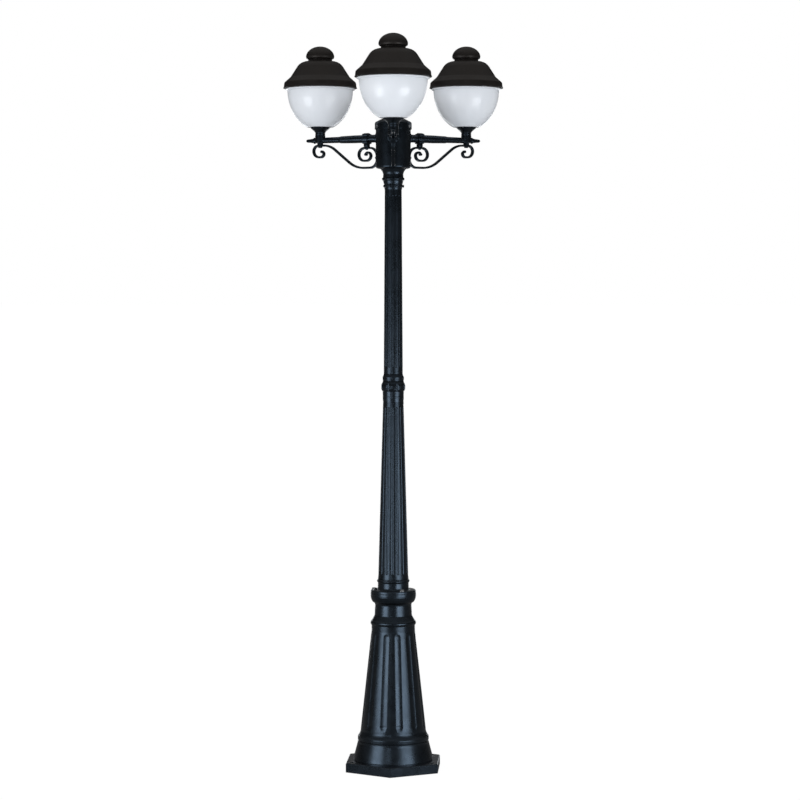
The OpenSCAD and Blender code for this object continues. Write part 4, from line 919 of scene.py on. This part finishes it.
# screws and bolts: one head per set, put on points that carry an aim, in every frame of the set
onArms, onLamps = [atArm(side) for side in arms], [atLamp(side) for side in arms]
screws = {
    "column_bolts": {"size": (7.5, 5.5), "washer": (8.6, 1.4), "slot": "plated_steel", "frames": [baseTurn],
                     "spots": ring(63, 596, -60, (0, 0, 1))},
    "set_screws": {"size": (5, 2.4), "slot": "black_paint", "frames": [baseTurn],
                   "spots": ring(34.6, 1213, -90) + ring(33.2, 1928, -110)},
    "hub_cap_screws": {"size": (5, 3), "slot": "plated_steel", "frames": [place()],
                       "spots": ring(60.8, 2122, -30)},
    "scroll_screws": {"size": (4.5, 3), "slot": "black_paint", "frames": onArms,
                      "spots": [((101, 0, -33.5), (0, 0, -1)), ((64.6, 0, -63.7), (1, 0, 0))]},
    "scroll_bolts": {"size": (7, 4), "slot": "black_paint", "frames": onLamps,
                     "spots": [((0, 0, -20.5), (0, 0, -1))]},
    "gallery_screws": {"size": (2, 2), "shank": (-7.7, 0.2, 1.5), "slot": "black_paint", "frames": onLamps,
                       "spots": ring(32.7, 40, 60)},
}


def screwHead(look):
    radius, height = look["size"]
    if "washer" in look:
        wide, lift = look["washer"]
        washer = lathe("washer", rounded([(0, 0), (wide, 0), (wide, lift, 0.4), (0, lift)]), sides=40)
        bolt = lathe("bolt", rounded([(0, lift), (radius, lift), (radius, height - 0.9), (radius - 1.1, height),
                                      (0, height)]), sides=6)
        return resharpened(joined("boltHead", washer, bolt))
    dome = lathe("dome", rounded([(0, 0), (radius, 0), (radius, height, height * 0.9), (0, height)], 0.5), sides=36)
    across, floor, top = radius * 0.42, height - 1.3, height + 1
    parts = [cutWith(dome, [lathe("key", [(0, floor), (across, floor), (across, top), (0, top)], sides=6)])]
    if "shank" in look:
        parts.append(barrel("shank", *look["shank"]))
    return resharpened(joined("screwHead", *parts))


def makeScrews():
    for name, look in screws.items():
        head = newObject("head", screwHead(look))
        spots = [(here @ (Vector(point) * mm), here.to_3x3() @ Vector(aim))
                 for here in look["frames"] for point, aim in look["spots"]]
        points = bpy.data.meshes.new("spots")
        points.from_pydata([p for p, aim in spots], [], [])
        aims = points.attributes.new("aim", "FLOAT_VECTOR", "POINT")
        aims.data.foreach_set("vector", [c for p, aim in spots for c in aim])
        title = "".join(word.capitalize() if k else word for k, word in enumerate(name.split("_"))) + "Set"
        mesh = runTree(points, trees["fasteners"], title, head=head, material=materials[slotLook[look["slot"]]])
        bpy.data.objects.remove(head)
        addPiece(title, resharpened(mesh), name, look["slot"])


# hinge pin, ground plate, and the bracket and block behind the door
hingePin = [(0, -40), (3.2, -40, 0.7), (3.2, -38.5), (2, -38.5), (2, 38.5), (3.2, 38.5), (3.2, 40, 0.7), (0, 40)]


def makeRest():
    pin = lathe("hingePin", rounded(hingePin, 0.5), sides=32)
    addPiece("hingePin", moved(pin, hingeFrame()), "door_hinge_pin", "plated_steel")
    for title, node, edge, slotName, look in (
            ("groundPlate", "base_plate", 1.0, "black_paint", "glossBlack"),
            ("terminalBracket", "terminal_bracket", 0.5, "plated_steel", "zincSheet"),
            ("terminalBlock", "terminal_block", 0.8, "terminal_plastic", "terminalNylon")):
        addPiece(title, eased(node, edge), node, slotName, look=look)


makeScrews()
makeRest()
print("screws and base ready")

# floor and room: white to the camera, dimmer in reflections
stageLook = {"floor": 0.34, "floorShare": 0.9, "floorGlow": 1.08, "mirrorShare": 0.75, "mirrorGlow": 0.05,
             "ambient": 1.0, "studioDim": 0.03, "sheet": (0.99, 1.0), "ceiling": 0.34, "size": 4000}


def makeFloor():
    size = stageLook["size"]
    mesh = bpy.data.meshes.new("floor")
    mesh.from_pydata([(-size, -size, 0), (size, -size, 0), (size, size, 0), (-size, size, 0)], [], [(0, 1, 2, 3)])
    material = bpy.data.materials.new("paleFloor")
    material.use_nodes = True
    tree = material.node_tree
    shader = feedAll(tree, tree.nodes["Principled BSDF"], Base_Color=(stageLook["floor"],) * 3 + (1,),
                     Roughness=0.9, Specular_IOR_Level=0.0)
    path = tree.nodes.new("ShaderNodeLightPath").outputs
    level = spread(tree, path["Is Camera Ray"], 0, 1, stageLook["mirrorGlow"], stageLook["floorGlow"])
    glow = addNode(tree, "ShaderNodeEmission", Strength=level)
    seen = calc(tree, "MULTIPLY", path["Is Camera Ray"], stageLook["floorShare"])
    mirrored = calc(tree, "MULTIPLY", path["Is Glossy Ray"], stageLook["mirrorShare"])
    mixed = feedRow(tree, tree.nodes.new("ShaderNodeMixShader"), calc(tree, "ADD", seen, mirrored),
                    shader.outputs[0], glow.outputs[0])
    feed(tree, tree.nodes["Material Output"].inputs[0], mixed)
    mesh.materials.append(material)
    newObject("floor", mesh)


# a white sheet behind the post and a dim room in front show in reflections
def makeWorld():
    scene.world = bpy.data.worlds.new("studio")
    scene.world.use_nodes = True
    tree = scene.world.node_tree
    path = tree.nodes.new("ShaderNodeLightPath").outputs
    across = axesOf(tree, tree.nodes.new("ShaderNodeTexCoord").outputs["Generated"])
    sheet = spread(tree, across[1], *stageLook["sheet"], stageLook["studioDim"], 1.0)
    sheet = calc(tree, "MAXIMUM", sheet, spread(tree, across[2], 0.35, 0.9, 0.0, stageLook["ceiling"]))
    mirror = calc(tree, "MAXIMUM", path["Is Glossy Ray"], path["Is Transmission Ray"])
    level = spread(tree, mirror, 0, 1, stageLook["ambient"], sheet)
    feedAll(tree, tree.nodes["Background"], Color=(1, 1, 1, 1),
            Strength=spread(tree, path["Is Camera Ray"], 0, 1, level, 1.0))


softBoxes = {
    "boxLeft": {"azimuth": -50, "distance": 3.2, "height": 0.68, "aim": 0.68, "size": (1.8, 1.36), "power": 38},
    "boxLeftHigh": {"azimuth": -50, "distance": 3.2, "height": 1.6, "aim": 1.6, "size": (1.5, 0.5), "power": 1.8},
    "boxRight": {"azimuth": 42, "distance": 3.2, "height": 0.62, "aim": 0.62, "size": (1.9, 1.24), "power": 38},
    "windowLeft": {"azimuth": -15, "distance": 3.2, "height": 1.15, "aim": 1.8, "size": (0.6, 0.7), "power": 3.2},
    "lowRight": {"azimuth": 27, "distance": 2.0, "height": 0.3, "aim": 2.2, "size": (0.4, 0.5), "power": 2.2},
    "backLeft": {"azimuth": 165, "distance": 3.2, "height": 1.1, "aim": 1.1, "size": (0.6, 2.2), "power": 7.5},
    "backRight": {"azimuth": 197, "distance": 3.2, "height": 1.1, "aim": 1.1, "size": (0.6, 2.2), "power": 7.5},
}


def makeLights():
    for name, look in softBoxes.items():
        light = bpy.data.lights.new(name, "AREA")
        light.shape = "RECTANGLE"
        light.size, light.size_y = look["size"]
        light.energy = look["power"]
        light.color = (0.93, 0.965, 1.0)
        source = newObject(name, light)
        a = radians(look["azimuth"])
        source.location = (look["distance"] * sin(a), -look["distance"] * cos(a), look["height"])
        toward = Vector((0, 0, look["aim"])) - source.location
        source.rotation_euler = toward.to_track_quat("-Z", "Y").to_euler()
        source.visible_camera = False


viewLook = {"sensor": 36, "lens": 110.8, "distance": 8.127, "height": 1.548, "down": 0.0399, "turn": -0.00274}


def makeCamera():
    camera = bpy.data.cameras.new("camera")
    camera.sensor_width, camera.lens = viewLook["sensor"], viewLook["lens"]
    scene.camera = newObject("camera", camera)
    scene.camera.location = (0, -viewLook["distance"], viewLook["height"])
    scene.camera.rotation_euler = (pi / 2 - viewLook["down"], 0, viewLook["turn"])


scene.view_settings.view_transform = "Standard"
makeFloor()
makeWorld()
makeLights()
makeCamera()
print("stage ready")
